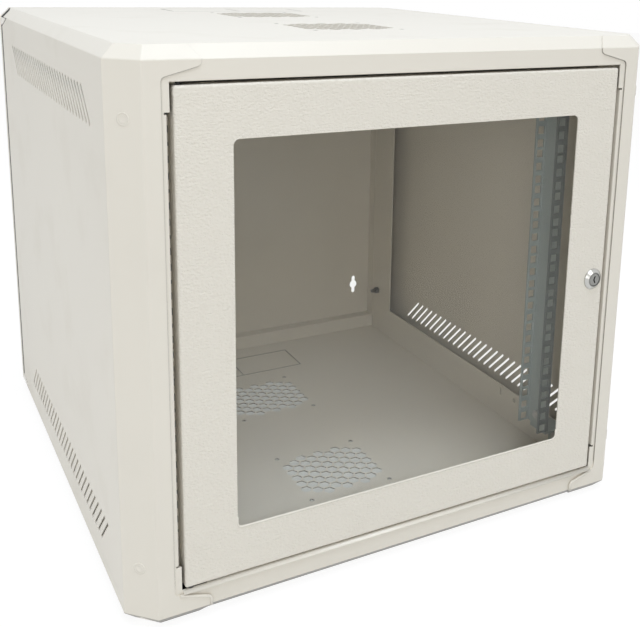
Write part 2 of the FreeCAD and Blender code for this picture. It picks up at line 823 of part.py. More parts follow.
rail_grip = s.rail_sheet + s.bracket_sheet
lip_grip = s.bracket_sheet + s.sheet
web_face = rail_side - s.rail_sheet
lip_face = s.lip_half - s.bracket_sheet
rail_bolts = four_corners("rail_bolts", bolt("rail_bolt", rail_grip), web_face, rail_mid, rail_bolt_up)
rail_nuts = four_corners("rail_nuts", nut("rail_nut", rail_grip), web_face, rail_mid, rail_bolt_up)
lip_bolt = bolt("bracket_bolt", lip_grip)
lip_nut = nut("bracket_nut", lip_grip)
bracket_bolts = four_corners("bracket_bolts", lip_bolt, lip_face, rail_mid, bracket_bolt_up)
bracket_nuts = four_corners("bracket_nuts", lip_nut, lip_face, rail_mid, bracket_bolt_up)


def rear_outline(inset):
    """The bevelled outline of the body seen from behind, this far inside its side faces."""
    side = half_width - inset
    low = s.back_in + inset
    high = top - low
    cut = s.edge_bevel - inset * (2 - ROOT2)
    return [
        (-side, low + cut),
        (-side + cut, low),
        (side - cut, low),
        (side, low + cut),
        (side, high - cut),
        (side - cut, high),
        (-side + cut, high),
        (-side, high - cut),
    ]


def rear_seal():
    """Sealing strip between the body and the rim of the back panel."""
    body = new_body("rear_gasket")
    slab(body, "XZ", rear_outline(s.gasket_in), rear, rear + s.gasket_thick)
    side = half_width - s.gasket_in - s.gasket_wide
    end = s.back_in + s.gasket_in + s.gasket_end
    inner = rectangle(-side, side, end, top - end)
    recess(body, "XZ", [inner], rear - s.spare, rear + s.gasket_thick + s.spare)
    both = back_bolts + [(-across, up) for across, up in back_bolts]
    hole = s.bolt_radius + s.bolt_play
    bore(body, "XZ", both, hole, rear - s.spare, rear + s.gasket_thick + s.spare)
    return body


rear_gasket = rear_seal()


def back_tray():
    """Back panel: a shallow bevelled tray with double-ended wall keyholes."""
    body = new_body("back_panel")
    start = rear + s.gasket_thick
    end = start + s.back_deep
    slab(body, "XZ", rear_outline(zero), start, end)
    shell(body, s.sheet, lambda face: face.BoundBox.YMax < start.value + 1e-3)
    cut_from = end - s.sheet - s.spare
    cut_to = end + s.spare
    places = []
    for across in (-s.key_half, s.key_half):
        for up in (s.key_end, top - s.key_end):
            places.append((across, up))
    bore(body, "XZ", places, s.key_head, cut_from, cut_to)
    rise = s.key_long / 2 - s.key_slot
    slots = []
    ends = []
    for across, up in places:
        slots.append(rectangle(across - s.key_slot, across + s.key_slot, up - rise, up + rise))
        ends += [(across, up - rise), (across, up + rise)]
    recess(body, "XZ", slots, cut_from, cut_to)
    bore(body, "XZ", ends, s.key_slot, cut_from, cut_to)
    return body


back_panel = back_tray()


def back_fixings():
    """Bolts from the side frames through the sealing strip into nuts on the back panel."""
    screws = []
    nuts = []
    reach = s.gasket_thick + s.back_deep - s.sheet - s.bolt_nut_thick + s.sheet
    for index, (across, up) in enumerate(back_bolts):
        body = new_body(f"back_bolt_{index}")
        slab(body, "XY", hexagon(zero, zero, s.bolt_head), -s.bolt_head_thick, zero)
        rod(body, "XY", zero, zero, s.bolt_radius, zero, reach + s.bolt_nut_thick - s.bolt_play)
        put(body, across, rear - s.sheet, up, BACKWARD)
        screws += [body, mirror(f"back_bolt_{index}_left", body, "x", zero)]
        body = nut(f"back_nut_{index}", reach)
        put(body, across, rear - s.sheet, up, BACKWARD)
        nuts += [body, mirror(f"back_nut_{index}_left", body, "x", zero)]
    return group("back_bolts", screws), group("back_nuts", nuts)


back_bolt_set, back_nut_set = back_fixings()


def earth_point():
    """Earth stud on the rear lip of the right side frame, pointing into the cabinet."""
    stud = new_body("earth_stud")
    slab(stud, "XY", hexagon(zero, zero, s.bolt_head), -s.bolt_head_thick, zero)
    rod(stud, "XY", zero, zero, s.bolt_radius, zero, s.earth_long)
    lock = nut("earth_nut", s.sheet)
    across = s.lip_half + s.sheet
    for body in (stud, lock):
        put(body, across, rear - s.earth_back, s.earth_up, Rotation(Vector(0, 1, 0), -90))
    return stud, lock


earth_stud, earth_nut = earth_point()

hinge_x = -door_half + s.hinge_in
hinge_y = behind(s.hinge_back)
pin_hole = s.pin_radius + s.run_fit
lock_x = door_half - s.lock_in
lock_z = s.door_low + s.door_height / 2
window_half = door_half - s.window_side
window_low = s.door_low + s.window_end
window_high = door_high - s.window_end


def door_leaf():
    """Door: one folded sheet with a window, hinge holes and the lock hole."""
    body = new_body("door_frame")
    outer = rectangle(-door_half, door_half, s.door_low, door_high)
    slab(body, "XZ", outer, front, behind(s.door_deep))
    back = behind(s.door_deep).value
    shell(body, s.sheet, lambda face: face.BoundBox.YMin > back - 1e-3)

    def fold(edge):
        box = edge.BoundBox
        on_side = min(abs(box.XMin + door_half.value), abs(box.XMax - door_half.value)) < 1e-3
        on_end = min(abs(box.ZMin - s.door_low.value), abs(box.ZMax - door_high.value)) < 1e-3
        at_front = box.YMax < front.value + 1e-3
        return at_front or (box.YLength > s.door_deep.value / 2 and on_side and on_end)

    ease(body, "Fillet", edge_names(body.Tip, fold), s.door_round)
    start = front - s.spare
    end = behind(s.sheet + s.spare)
    window = rectangle(-window_half, window_half, window_low, window_high)
    cut = recess(body, "XZ", [window], start, end)

    def corner(edge):
        box = edge.BoundBox
        at_side = abs(abs(box.XMin) - window_half.value) < 1e-3
        at_end = min(abs(box.ZMin - window_low.value), abs(box.ZMax - window_high.value)) < 1e-3
        return box.XLength < 1e-6 and box.ZLength < 1e-6 and at_side and at_end

    ease(body, "Fillet", edge_names(cut, corner), s.window_round)
    bore(body, "XZ", [(lock_x, lock_z)], s.barrel_radius + s.bolt_play, start, end)
    bore(body, "XY", [(hinge_x, hinge_y)], pin_hole, s.door_low - s.spare, door_high + s.spare)
    return body


door_frame = door_leaf()

glass_half = window_half + s.glass_lap
glass_low = window_low - s.glass_lap
glass_high = window_high + s.glass_lap
tape_face = behind(s.sheet)
glass_face = tape_face + s.tape_thick
glass_back = glass_face + s.glass_thick


def pane():
    body = new_body("door_glass")
    slab(body, "XZ", rectangle(-glass_half, glass_half, glass_low, glass_high), glass_face, glass_back)
    return body


def tape():
    body = new_body("glass_tape")
    slab(body, "XZ", rectangle(-glass_half, glass_half, glass_low, glass_high), tape_face, glass_face)
    side = glass_half - s.tape_wide
    inner = rectangle(-side, side, glass_low + s.tape_wide, glass_high - s.tape_wide)
    recess(body, "XZ", [inner], tape_face - s.spare, glass_face + s.spare)
    return body


door_glass = pane()
glass_tape = tape()
clip_axis = s.clip_gap + s.clip_sheet + s.clip_foot / 2


def clip_profile(edge, out):
    """Section of a retainer: foot on the door, riser past the pane, grip on its back."""
    riser = edge + (s.clip_gap + s.clip_sheet) * out
    toe = riser + s.clip_foot * out
    tip = edge - s.clip_grip * out
    wall = edge + s.clip_gap * out
    thick = s.clip_sheet
    return [
        (toe, tape_face),
        (wall, tape_face),
        (wall, glass_back),
        (tip, glass_back),
        (tip, glass_back + thick),
        (riser, glass_back + thick),
        (riser, tape_face + thick),
        (toe, tape_face + thick),
    ]


def retainers():
    """Four retainers round the pane, with two welded studs and nuts on each."""
    hole = s.clip_stud + s.bolt_play
    start = tape_face - s.spare / 4
    end = tape_face + s.clip_sheet + s.spare / 4
    clips = []
    places = []
    inset = s.clip_grip + s.clip_sheet
    third = (window_high - window_low) / 3
    for name, out in (("glass_clip_left", -1), ("glass_clip_right", 1)):
        body = new_body(name)
        profile = clip_profile(glass_half * out, out)
        slab(body, "XY", profile, glass_low + inset, glass_high - inset)
        studs = []
        for up in (window_low + third, window_high - third):
            studs.append(((glass_half + clip_axis) * out, up))
        bore(body, "XZ", studs, hole, start, end)
        clips.append(body)
        places += studs
    third = window_half * (1 / 3)
    for name, edge, out in (("glass_clip_lower", glass_low, -1), ("glass_clip_upper", glass_high, 1)):
        body = new_body(name)
        profile = [(along, across) for across, along in clip_profile(edge, out)]
        slab(body, "YZ", profile, -window_half, window_half)
        studs = [(-third, edge + clip_axis * out), (third, edge + clip_axis * out)]
        bore(body, "XZ", studs, hole, start, end)
        clips.append(body)
        places += studs
    nuts = []
    for index, (across, up) in enumerate(places):
        body = new_body(f"clip_nut_{index}")
        slab(body, "XY", hexagon(zero, zero, s.clip_nut), s.clip_sheet, s.clip_sheet + s.clip_nut_thick)
        rod(body, "XY", zero, zero, s.clip_stud, zero, s.clip_sheet + s.clip_nut_thick * 1.5)
        put(body, across, tape_face, up, BACKWARD)
        nuts.append(body)
    return clips, group("glass_clip_nuts", nuts)


glass_clips, glass_clip_nuts = retainers()


def hinge(name, seat, sign):
    """Angle bracket behind a corner of the front frame, with the pin that it carries."""
    bracket = new_body(f"hinge_bracket_{name}")
    back = behind(s.sheet * 2)
    far = hinge_y + s.hinge_lap
    thick = s.hinge_sheet
    profile = [
        (back, seat),
        (far, seat),
        (far, seat + thick * sign),
        (back + thick, seat + thick * sign),
        (back + thick, seat + s.hinge_leg * sign),
        (back, seat + s.hinge_leg * sign),
    ]
    slab(bracket, "YZ", profile, hinge_x - s.hinge_reach, hinge_x + s.hinge_reach)
    hole = s.pin_radius + s.seat_fit
    low, high = (seat, seat + thick) if sign > 0 else (seat - thick, seat)
    bore(bracket, "XY", [(hinge_x, hinge_y)], hole, low - s.spare, high + s.spare)
    pin = new_body(f"hinge_pin_{name}")
    if sign > 0:
        rod(pin, "XY", hinge_x, hinge_y, s.pin_radius, seat - s.gap_top - s.pin_reach, high)
    else:
        rod(pin, "XY", hinge_x, hinge_y, s.pin_radius, low, seat + s.gap_low + s.pin_reach)
    tip = pin.Tip
    end = seat - s.gap_top - s.pin_reach if sign > 0 else seat + s.gap_low + s.pin_reach
    names = edge_names(tip, lambda edge: abs(edge.BoundBox.ZMax - end.value) + edge.BoundBox.ZLength < 1e-3)
    ease(pin, "Chamfer", names, s.pin_radius / 3)
    return bracket, pin


hinge_bracket_upper, hinge_pin_upper = hinge("upper", open_high, 1)
hinge_bracket_lower, hinge_pin_lower = hinge("lower", open_low, -1)


def hinge_ring():
    body = new_body("hinge_washer")
    rod(body, "XY", hinge_x, hinge_y, s.washer_radius, open_low, s.door_low)
    bore(body, "XY", [(hinge_x, hinge_y)], pin_hole, open_low - s.spare, s.door_low + s.spare)
    return body


hinge_washer = hinge_ring()


def lock_case():
    """Lock barrel and conical rim, bored for the core, modelled about its own axis."""
    body = new_body("lock_barrel")
    hole = s.core_radius + s.run_fit
    corners = [
        (hole, -s.lock_out),
        (s.lock_face, -s.lock_out),
        (s.lock_rim, -s.lock_rim_foot),
        (s.lock_rim, zero),
        (s.barrel_radius, zero),
        (s.barrel_radius, s.barrel_long),
        (hole, s.barrel_long),
    ]
    turn(body, corners)

    def shoulder(edge):
        box = edge.BoundBox
        reach = box.XMax
        at_face = abs(reach - s.lock_face.value) < 1e-3
        at_foot = abs(reach - s.lock_rim.value) < 1e-3 and box.ZMax < -1e-3
        return box.ZLength < 1e-6 and (at_face or at_foot)

    ease(body, "Fillet", edge_names(body.Tip, shoulder), s.lock_rim_round)
    ring = new_body("lock_nut")
    end = s.sheet + s.lock_nut_thick
    slab(ring, "XY", hexagon(zero, zero, s.lock_nut), s.sheet, end)
    bore(ring, "XY", [(zero, zero)], s.barrel_radius + s.seat_fit, s.sheet - s.spare / 4, end + s.spare)
    for piece in (body, ring):
        put(piece, lock_x, front, lock_z, BACKWARD)
    return body, ring


def lock_turning():
    """What the key turns: the core with its keyway, the cam on its square tail and the cam's screw."""
    cam_face = s.barrel_long + s.cam_gap
    cam_back = cam_face + s.cam_thick
    face = -s.lock_out + s.core_set
    core = new_body("lock_core")
    turn(core, [(zero, face), (s.core_radius, face), (s.core_radius, cam_face), (zero, cam_face)])
    tail = s.core_tail
    slab(core, "XY", rectangle(-tail, tail, -tail, tail), cam_face, cam_back)
    wide = s.key_wide / 2
    high = s.key_high / 2
    bend = s.key_bend / 2
    keyway = [
        (-bend - wide, zero),
        (bend - wide, -high),
        (bend + wide, -high),
        (wide - bend, zero),
        (bend + wide, high),
        (bend - wide, high),
    ]
    recess(core, "XY", [keyway], face - s.spare, face + s.key_deep)
    hole = s.screw_radius + s.seat_fit
    bore(core, "XY", [(zero, zero)], hole, cam_back - s.screw_long - s.spare / 4, cam_back + s.spare)

    cam = new_body("lock_cam")
    half = s.cam_wide / 2
    straight = s.cam_long - half
    slab(cam, "XY", rectangle(-half, half, -half, straight), cam_face, cam_back)
    rod(cam, "XY", zero, straight, half, cam_face, cam_back)
    fit = tail + s.run_fit
    recess(cam, "XY", [rectangle(-fit, fit, -fit, fit)], cam_face - s.spare / 4, cam_back + s.spare)

    screw = new_body("lock_cam_screw")
    rod(screw, "XY", zero, zero, s.screw_head, cam_back, cam_back + s.screw_head_thick)
    rod(screw, "XY", zero, zero, s.screw_radius, cam_back - s.screw_long, cam_back)
    for piece in (core, cam, screw):
        put(piece, lock_x, front, lock_z, BACKWARD)
    return core, cam, screw


lock_barrel, lock_nut = lock_case()
lock_core, lock_cam, lock_cam_screw = lock_turning()

NODES = [
    left_side_panel,
    right_side_panel,
    top_cover,
    bottom_panel,
    front_frame,
    side_frame_left,
    side_frame_right,
    rear_gasket,
    back_panel,
    back_bolt_set,
    back_nut_set,
    rail_left,
    rail_right,
    rail_bracket_left_lower,
    rail_bracket_left_upper,
    rail_bracket_right_lower,
    rail_bracket_right_upper,
    rail_bolts,
    rail_nuts,
    bracket_bolts,
    bracket_nuts,
    earth_stud,
    earth_nut,
    hinge_bracket_upper,
    hinge_bracket_lower,
    hinge_pin_upper,
    hinge_pin_lower,
    hinge_washer,
    door_frame,
    door_glass,
    glass_tape,
    *glass_clips,
    glass_clip_nuts,
    lock_barrel,
    lock_nut,
    lock_core,
    lock_cam,
    lock_cam_screw,
]


def check_and_export():
    doc.recompute()
    for item in doc.Objects:
        if "Invalid" in item.State or "Error" in item.State:
            raise RuntimeError(f"{item.Label} did not compute: {item.State}")
    os.makedirs("parts", exist_ok=True)
    for node in NODES:
        shape = node.Shape
        if shape.isNull() or not shape.isValid():
            raise RuntimeError(f"{node.Label} has no valid shape")
        shape.exportStep(f"parts/{node.Label}.step")
        box = shape.BoundBox
        print(
            f"{node.Label}: {len(shape.Solids)} solids, {shape.Volume / 1000:.2f} cm3, "
            f"x {box.XMin:.1f} {box.XMax:.1f}, y {box.YMin:.1f} {box.YMax:.1f}, "
            f"z {box.ZMin:.1f} {box.ZMax:.1f}"
        )


check_and_export()
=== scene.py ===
# %% [markdown]
# # A glazed wall rack cabinet, dressed for a studio picture
#
# The cabinet arrives as finished sheet-metal parts: side panels, pans, a
# door, rails, fasteners.  This lesson gives every part its finish, adds the
# small pressed and turned detail that the plain parts lack, and sets up the
# camera and the light.  Everything is in metres, in the frame of the parts:
# x to the right, y to the back, z up, and the floor at zero.

# %% Load the cabinet
import json
import math

import bmesh
import bpy
from mathutils import Matrix, Vector

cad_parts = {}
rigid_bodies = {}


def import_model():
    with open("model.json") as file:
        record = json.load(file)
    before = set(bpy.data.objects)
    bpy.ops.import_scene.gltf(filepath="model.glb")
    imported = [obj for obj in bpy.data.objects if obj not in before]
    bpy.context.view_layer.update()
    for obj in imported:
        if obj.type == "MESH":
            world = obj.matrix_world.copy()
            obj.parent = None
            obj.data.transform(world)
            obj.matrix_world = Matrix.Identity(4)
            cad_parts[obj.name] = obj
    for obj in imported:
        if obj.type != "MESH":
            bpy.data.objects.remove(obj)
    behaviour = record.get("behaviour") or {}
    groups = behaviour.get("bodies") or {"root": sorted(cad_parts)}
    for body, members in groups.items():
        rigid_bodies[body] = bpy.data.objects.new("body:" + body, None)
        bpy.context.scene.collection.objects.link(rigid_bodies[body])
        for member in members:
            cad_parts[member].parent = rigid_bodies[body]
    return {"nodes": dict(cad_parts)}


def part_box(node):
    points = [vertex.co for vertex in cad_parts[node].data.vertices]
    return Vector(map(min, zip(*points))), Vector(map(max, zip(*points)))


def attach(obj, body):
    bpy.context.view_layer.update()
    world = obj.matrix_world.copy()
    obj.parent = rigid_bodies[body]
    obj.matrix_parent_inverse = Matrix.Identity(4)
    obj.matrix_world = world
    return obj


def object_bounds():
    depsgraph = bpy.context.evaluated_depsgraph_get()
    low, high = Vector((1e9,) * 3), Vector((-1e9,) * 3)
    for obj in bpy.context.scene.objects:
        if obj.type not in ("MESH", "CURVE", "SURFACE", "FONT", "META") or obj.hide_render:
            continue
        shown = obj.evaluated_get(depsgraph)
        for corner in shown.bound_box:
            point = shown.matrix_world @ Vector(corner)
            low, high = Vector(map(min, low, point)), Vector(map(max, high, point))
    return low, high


for leftover in list(bpy.data.objects):
    bpy.data.objects.remove(leftover)
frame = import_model()
parts = frame["nodes"]
cad_low, cad_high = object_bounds()
print("loaded", len(parts), "parts,", [round(v, 4) for v in cad_high - cad_low], "m")

# %% [markdown]
# ## The camera
#
# The picture was taken from the left of the door, a little above the top of
# the cabinet, with the lens pointing down only slightly.  A camera has a
# place, a direction and a lens.  The direction could be set by tracking an
# empty, but here it comes from two angles, because then each number means
# something: how far round, how far down, and how far the horizon leans.
# The lens shift slides the picture without turning the camera, so upright
# edges stay nearly upright.

# %% Camera
PICTURE_WIDTH = 640
SENSOR_WIDTH = 36.0
FOCUS_PIXELS = 942.0
EYE = Vector((-0.4784, -1.0742, 0.6194))
ROUND, DOWN, LEAN = (math.radians(a) for a in (29.78, 12.91, 1.517))
SHIFT_ACROSS, SHIFT_UP = -0.1071, -0.2081

ahead = Vector((
    math.sin(ROUND) * math.cos(DOWN),
    math.cos(ROUND) * math.cos(DOWN),
    -math.sin(DOWN),
))
level = Vector((math.cos(ROUND), -math.sin(ROUND), 0))
above = level.cross(ahead)
across = math.cos(LEAN) * level + math.sin(LEAN) * above
upright = math.cos(LEAN) * above - math.sin(LEAN) * level

lens = bpy.data.cameras.new("studio_lens")
lens.sensor_fit = "HORIZONTAL"
lens.sensor_width = SENSOR_WIDTH
lens.lens = SENSOR_WIDTH * FOCUS_PIXELS / PICTURE_WIDTH
lens.shift_x, lens.shift_y = SHIFT_ACROSS, SHIFT_UP
camera = bpy.data.objects.new("studio_camera", lens)
turn = Matrix((across, upright, -ahead)).transposed()
camera.matrix_world = Matrix.Translation(EYE) @ turn.to_4x4()
bpy.context.scene.collection.objects.link(camera)
bpy.context.scene.camera = camera
print("camera at", [round(v, 3) for v in EYE], "lens", round(lens.lens, 2), "mm")

# %% [markdown]
# ## Writing shader maths as Python
#
# A finish is a web of nodes.  Adding each Math node by hand hides the idea
# behind it, so a `Wire` stands for one socket and knows the arithmetic
# signs: `1 - mask` adds a Subtract node.  Every other node comes from
# `Finish.add`, which takes the node's type, its settings and its sockets.

# %% Wires and finishes
class Wire:
    """One socket of a finish.  Sums and products of wires add Math nodes."""

    def __init__(self, finish, socket):
        self.finish, self.socket = finish, socket

    def maths(self, operation, first, second):
        return self.finish.add("Math", {"operation": operation}, {0: first, 1: second})

    def __add__(self, other):
        return self.maths("ADD", self, other)

    def __radd__(self, other):
        return self.maths("ADD", other, self)

    def __sub__(self, other):
        return self.maths("SUBTRACT", self, other)

    def __rsub__(self, other):
        return self.maths("SUBTRACT", other, self)

    def __mul__(self, other):
        return self.maths("MULTIPLY", self, other)

    def __rmul__(self, other):
        return self.maths("MULTIPLY", other, self)

    def __abs__(self):
        return self.maths("ABSOLUTE", self, 0.0)

    def or_more(self, other):
        """The larger of two values."""
        return self.maths("MAXIMUM", self, other)


class Finish:
    """A material, or the world, built up node by node."""

    def __init__(self, owner):
        self.owner = owner
        owner.use_nodes = True
        self.nodes, self.links = owner.node_tree.nodes, owner.node_tree.links
        self.nodes.clear()

    def add(self, kind, settings=None, sockets=None, out=0):
        """Adds a node; its settings come first, then its sockets."""
        node = self.nodes.new("ShaderNode" + kind)
        for name, value in (settings or {}).items():
            setattr(node, name, value)
        for name, value in (sockets or {}).items():
            if isinstance(value, Wire):
                self.links.new(value.socket, node.inputs[name])
            else:
                node.inputs[name].default_value = value
        return Wire(self, node.outputs[out]) if node.outputs else None

    def show(self, surface):
        world = isinstance(self.owner, bpy.types.World)
        kind = "OutputWorld" if world else "OutputMaterial"
        self.add(kind, None, {"Surface": surface})
        return self.owner


def new_finish(name):
    return Finish(bpy.data.materials.new(name))


print("shader helpers ready")

# %% [markdown]
# ## Words for surfaces
#
# Most finishes here are made of the same few ideas: where a point lies,
# soft noise of a given lump size, a range that is eased onto another, a mix
# of two colours and a bump.  Each gets a short name once.  The noise reads
# the part's own coordinates in metres, so a lump of two millimetres is two
# millimetres on every part, and the pattern stays on the door as it swings.

# %% Surface words
X, Y, Z = range(3)


def place(f):
    return f.add("TexCoord", out="Object")


def along(f, axis):
    """How far along X, Y or Z a point lies."""
    return f.add("SeparateXYZ", None, {0: place(f)}, out=axis)


def stretched(f, scale):
    return f.add("Mapping", None, {"Vector": place(f), "Scale": scale})


def noise(f, lump, where=None, detail=2.0):
    return f.add("TexNoise", None, {
        "Vector": where or place(f), "Scale": 1 / lump, "Detail": detail,
    })


def eased(f, value, low, high):
    """0 at `low`, 1 at `high`, and a soft step between them."""
    return f.add("MapRange", {"interpolation_type": "SMOOTHSTEP"}, {
        "Value": value, "From Min": low, "From Max": high,
    })


def inside(f, axis, low, high, soft):
    """1 between two places along an axis, 0 outside, with soft ends."""
    middle, reach = (low + high) / 2, (high - low) / 2
    return eased(f, abs(along(f, axis) - middle), reach, reach - soft)


MIX_FACTOR, MIX_A, MIX_B, MIX_RESULT = 0, 6, 7, 2


def tinted(f, share, first, second):
    sockets = {MIX_FACTOR: share, MIX_A: first, MIX_B: second}
    return f.add("Mix", {"data_type": "RGBA"}, sockets, out=MIX_RESULT)


def bumped(f, height, depth, strength=1.0):
    return f.add("Bump", None, {
        "Height": height, "Distance": depth, "Strength": strength,
    })


def shade(colour, share):
    return tuple(c * share for c in colour[:3]) + (1.0,)


def dress(material, *names):
    for name in names:
        mesh = parts[name].data
        mesh.materials.clear()
        mesh.materials.append(material)
    print(material.name, "on", len(names), "parts")


print("surface words ready")

# %% [markdown]
# ## Painted shade in the cuts
#
# The top and the floor have fan grilles with screw holes at their corners and
# a cable entry that is cut nearly through, to be knocked out.  Their cut edges
# are painted dark, as painted shade.  Painting a picture of the marks would
# need a flattened map of each sheet; a few ranges of x, y and z say the same
# and stay sharp at any distance.

# %% Painted shade in the cuts
FAN_ROWS = (-0.1145, 0.1065)
FAN_HALF = 0.0525
HOLE_UNSHADED, HOLE_SHADED = 0.0034, 0.0028
ENTRY_HALF, ENTRY_NEAR, ENTRY_FAR = 0.095, 0.1925, 0.2545
GRILLE_HALF, GRILLE_NEAR, GRILLE_FAR, GRILLE_SOFT = 0.12, -0.20, 0.172, 0.01
SHEET_LOW, SHEET_HIGH, SHEET_SOFT = 0.0002, 0.0014, 0.0002
LINE_HALF, LINE_SOFT = 0.0012, 0.0006


def entry(f, spread):
    """1 over the cable entry, made larger by `spread` on each side."""
    across_it = inside(f, X, -ENTRY_HALF - spread, ENTRY_HALF + spread, LINE_SOFT)
    return across_it * inside(f, Y, ENTRY_NEAR - spread, ENTRY_FAR + spread, LINE_SOFT)


def grilles(f, side_soft):
    """1 over the strip of the floor that holds both grilles."""
    across_it = inside(f, X, -GRILLE_HALF, GRILLE_HALF, side_soft)
    return across_it * inside(f, Y, GRILLE_NEAR, GRILLE_FAR, GRILLE_SOFT)


def cut_lines(f):
    """1 where shade is painted: screw holes, grille cuts and the cable entry's lines."""
    whole = entry(f, LINE_HALF)
    middle = inside(f, X, -LINE_HALF, LINE_HALF, LINE_SOFT) * whole
    cut_walls = grilles(f, GRILLE_SOFT) * inside(f, Z, SHEET_LOW, SHEET_HIGH, SHEET_SOFT)
    marks = (whole - entry(f, -LINE_HALF)).or_more(middle).or_more(cut_walls)
    across_hole = abs(abs(along(f, X)) - FAN_HALF)
    for row in FAN_ROWS:
        along_hole = abs(abs(along(f, Y) - row) - FAN_HALF)
        far = across_hole * across_hole + along_hole * along_hole
        marks = marks.or_more(eased(f, far, HOLE_UNSHADED ** 2, HOLE_SHADED ** 2))
    return marks


# The darkening round the screw holes is painted shade.
print("grime round", 4 * len(FAN_ROWS), "screw holes in each sheet")

# %% [markdown]
# ## The powder coat
#
# The sheet metal is sprayed with dry paint and baked.  As it melts it draws
# together into a pebbled skin, coarse on the door and much finer on the body.
# A flat colour with one noise bump would look like plastic, so the skin has
# three sizes: pebbles, a finer grit, and proud specks at the centres of
# random cells.  The colour drifts a little from place to place, and handling
# leaves duller patches.  The cuts and the places where two sheets meet are
# darkened as painted shade, and so is the lowest edge.  Rolled edges get no
# painted shade in cuts and seams and are polished by hands, so they get a glossier coat.

# %% Powder coat
WARM_GREY = (0.735, 0.694, 0.612, 1.0)
# The dark colour that paints shade in seams, cuts and at the foot.
PAINTED_SHADE = (0.10, 0.092, 0.078, 1.0)
JOINT_REACH = 0.0035
FRONT_FACES, ABOVE_SILL = (-0.285, -0.295), (0.036, 0.044)
SHELL_SIDES, SHELL_FRONT = (0.2860, 0.2875), (-0.2905, -0.2920)
SHELL_FOOT = (0.0132, 0.0112)
SPECK_RANGE, HANDLED_RANGE, JOINT_RANGE = (0.26, 0.06), (0.52, 0.72), (0.80, 0.45)
SPECK_SPREAD, PEBBLE_SHARE, GRIT_SHARE = 0.4, 0.7, 0.2
CUT_SHADE, FOOT_SHADE, FOOT_SHADE_DRIFT = 0.6, 0.75, 0.2


def powder_coat(name, pebble, depth, speck_share, shade_share, dullness=0.36, drawn=(1.0, 1.0, 1.0)):
    """Paint with pebbles of this size and depth, in metres, and painted shade in seams and cuts.
    """
    f = new_finish(name)
    pebbles = noise(f, pebble, stretched(f, drawn), detail=1.0)
    grit = noise(f, pebble / 3, detail=1.0)
    cells = f.add("TexVoronoi", None, {"Vector": place(f), "Scale": SPECK_SPREAD / pebble})
    specks = eased(f, cells, *SPECK_RANGE)
    drift = noise(f, lump=0.30)
    handled = eased(f, noise(f, lump=0.07, detail=4.0), *HANDLED_RANGE)
    height = pebbles * PEBBLE_SHARE + grit * GRIT_SHARE + specks * speck_share
    clean = tinted(f, drift, shade(WARM_GREY, 0.975), shade(WARM_GREY, 1.02))
    paint = tinted(f, handled * 0.06, clean, shade(WARM_GREY, 0.80))
    # Painted shade: ambient occlusion darkens the front seams and creases.
    open_air = f.add("AmbientOcclusion", {"samples": 6}, {"Distance": JOINT_REACH}, out="AO")
    in_front = eased(f, along(f, Y), *FRONT_FACES) * eased(f, along(f, Z), *ABOVE_SILL)
    joints = eased(f, open_air, *JOINT_RANGE) * in_front
    at_sides = eased(f, abs(along(f, X)), *SHELL_SIDES)
    outside = at_sides.or_more(eased(f, along(f, Y), *SHELL_FRONT))
    # Painted shade: the lowest edge of the shell is darkened, unevenly.
    shaded_foot = eased(f, along(f, Z), *SHELL_FOOT) * outside
    # Painted shade in seams and cuts, scaled by the coat's share of it.
    edges = joints.or_more(cut_lines(f) * CUT_SHADE) * shade_share
    painted_shade_mask = edges.or_more(shaded_foot * (FOOT_SHADE + drift * FOOT_SHADE_DRIFT))
    return f.show(f.add("BsdfPrincipled", None, {
        "Base Color": tinted(f, painted_shade_mask, paint, PAINTED_SHADE),
        "Roughness": dullness + pebbles * 0.08 + handled * 0.07,
        "Normal": bumped(f, height, depth),
    }))


print("paint colour", WARM_GREY[:3])

# %% [markdown]
# ## Three coats
#
# One recipe gives three coats.  They could be three materials drawn by hand,
# but then a change of the colour would have to be made three times.

# %% Coats for body, edges and door
fine_skin = {"pebble": 0.0024, "depth": 0.000012, "speck_share": 0.3}
coarse_skin = {"pebble": 0.0021, "depth": 0.0014, "speck_share": 0.10}
body_coat = powder_coat("body_powder_coat", **fine_skin, shade_share=0.95)
edge_coat = powder_coat("edge_powder_coat", **fine_skin, shade_share=0.0, dullness=0.16)
door_coat = powder_coat("door_powder_coat", **coarse_skin, shade_share=0.3, drawn=(0.6, 1.0, 1.0))
dress(
    body_coat, "left_side_panel", "right_side_panel", "top_cover", "bottom_panel",
    "front_frame", "side_frame_left", "side_frame_right", "back_panel",
)
dress(door_coat, "door_frame")

# %% [markdown]
# ## Sweeping a section
#
# A rolled edge, a sill and a rubber strip have the same outline all along.
# Curves with a bevel could make them; here a closed outline is carried from
# station to station along a path, which gives clean four-sided faces and
# closed ends.

# %% Sweeping a section
def solid(name, points, faces, material, slot, body):
    """A closed mesh that rides on a body.  The slot argument is not used."""
    mesh = bpy.data.meshes.new(name)
    mesh.from_pydata(points, [], faces)
    mesh.materials.append(material)
    shell = bmesh.new()
    shell.from_mesh(mesh)
    bmesh.ops.recalc_face_normals(shell, faces=shell.faces)
    shell.to_mesh(mesh)
    shell.free()
    for face in mesh.polygons:
        face.use_smooth = len(face.vertices) == 4
    piece = bpy.data.objects.new(name, mesh)
    bpy.context.scene.collection.objects.link(piece)
    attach(piece, body)
    return piece


def between(a, b, count):
    """Faces between two rings of points, which start at a and at b."""
    return [(a + i, a + (i + 1) % count, b + (i + 1) % count, b + i) for i in range(count)]


def swept(section, path):
    """Points and faces of a section in y and z, carried along a path in one x-z plane."""
    count = len(section)
    points, faces = [], [tuple(reversed(range(count)))]
    for i, spot in enumerate(path):
        ahead_spot, behind_spot = path[min(i + 1, len(path) - 1)], path[max(i - 1, 0)]
        run = (ahead_spot - behind_spot).normalized()
        rise = run.cross(Vector((0, 1, 0)))
        points += [spot + Vector((0, y, 0)) + z * rise for y, z in section]
    for ring in range(len(path) - 1):
        faces += between(ring * count, (ring + 1) * count, count)
    last = (len(path) - 1) * count
    faces.append(tuple(range(last, last + count)))
    return points, faces


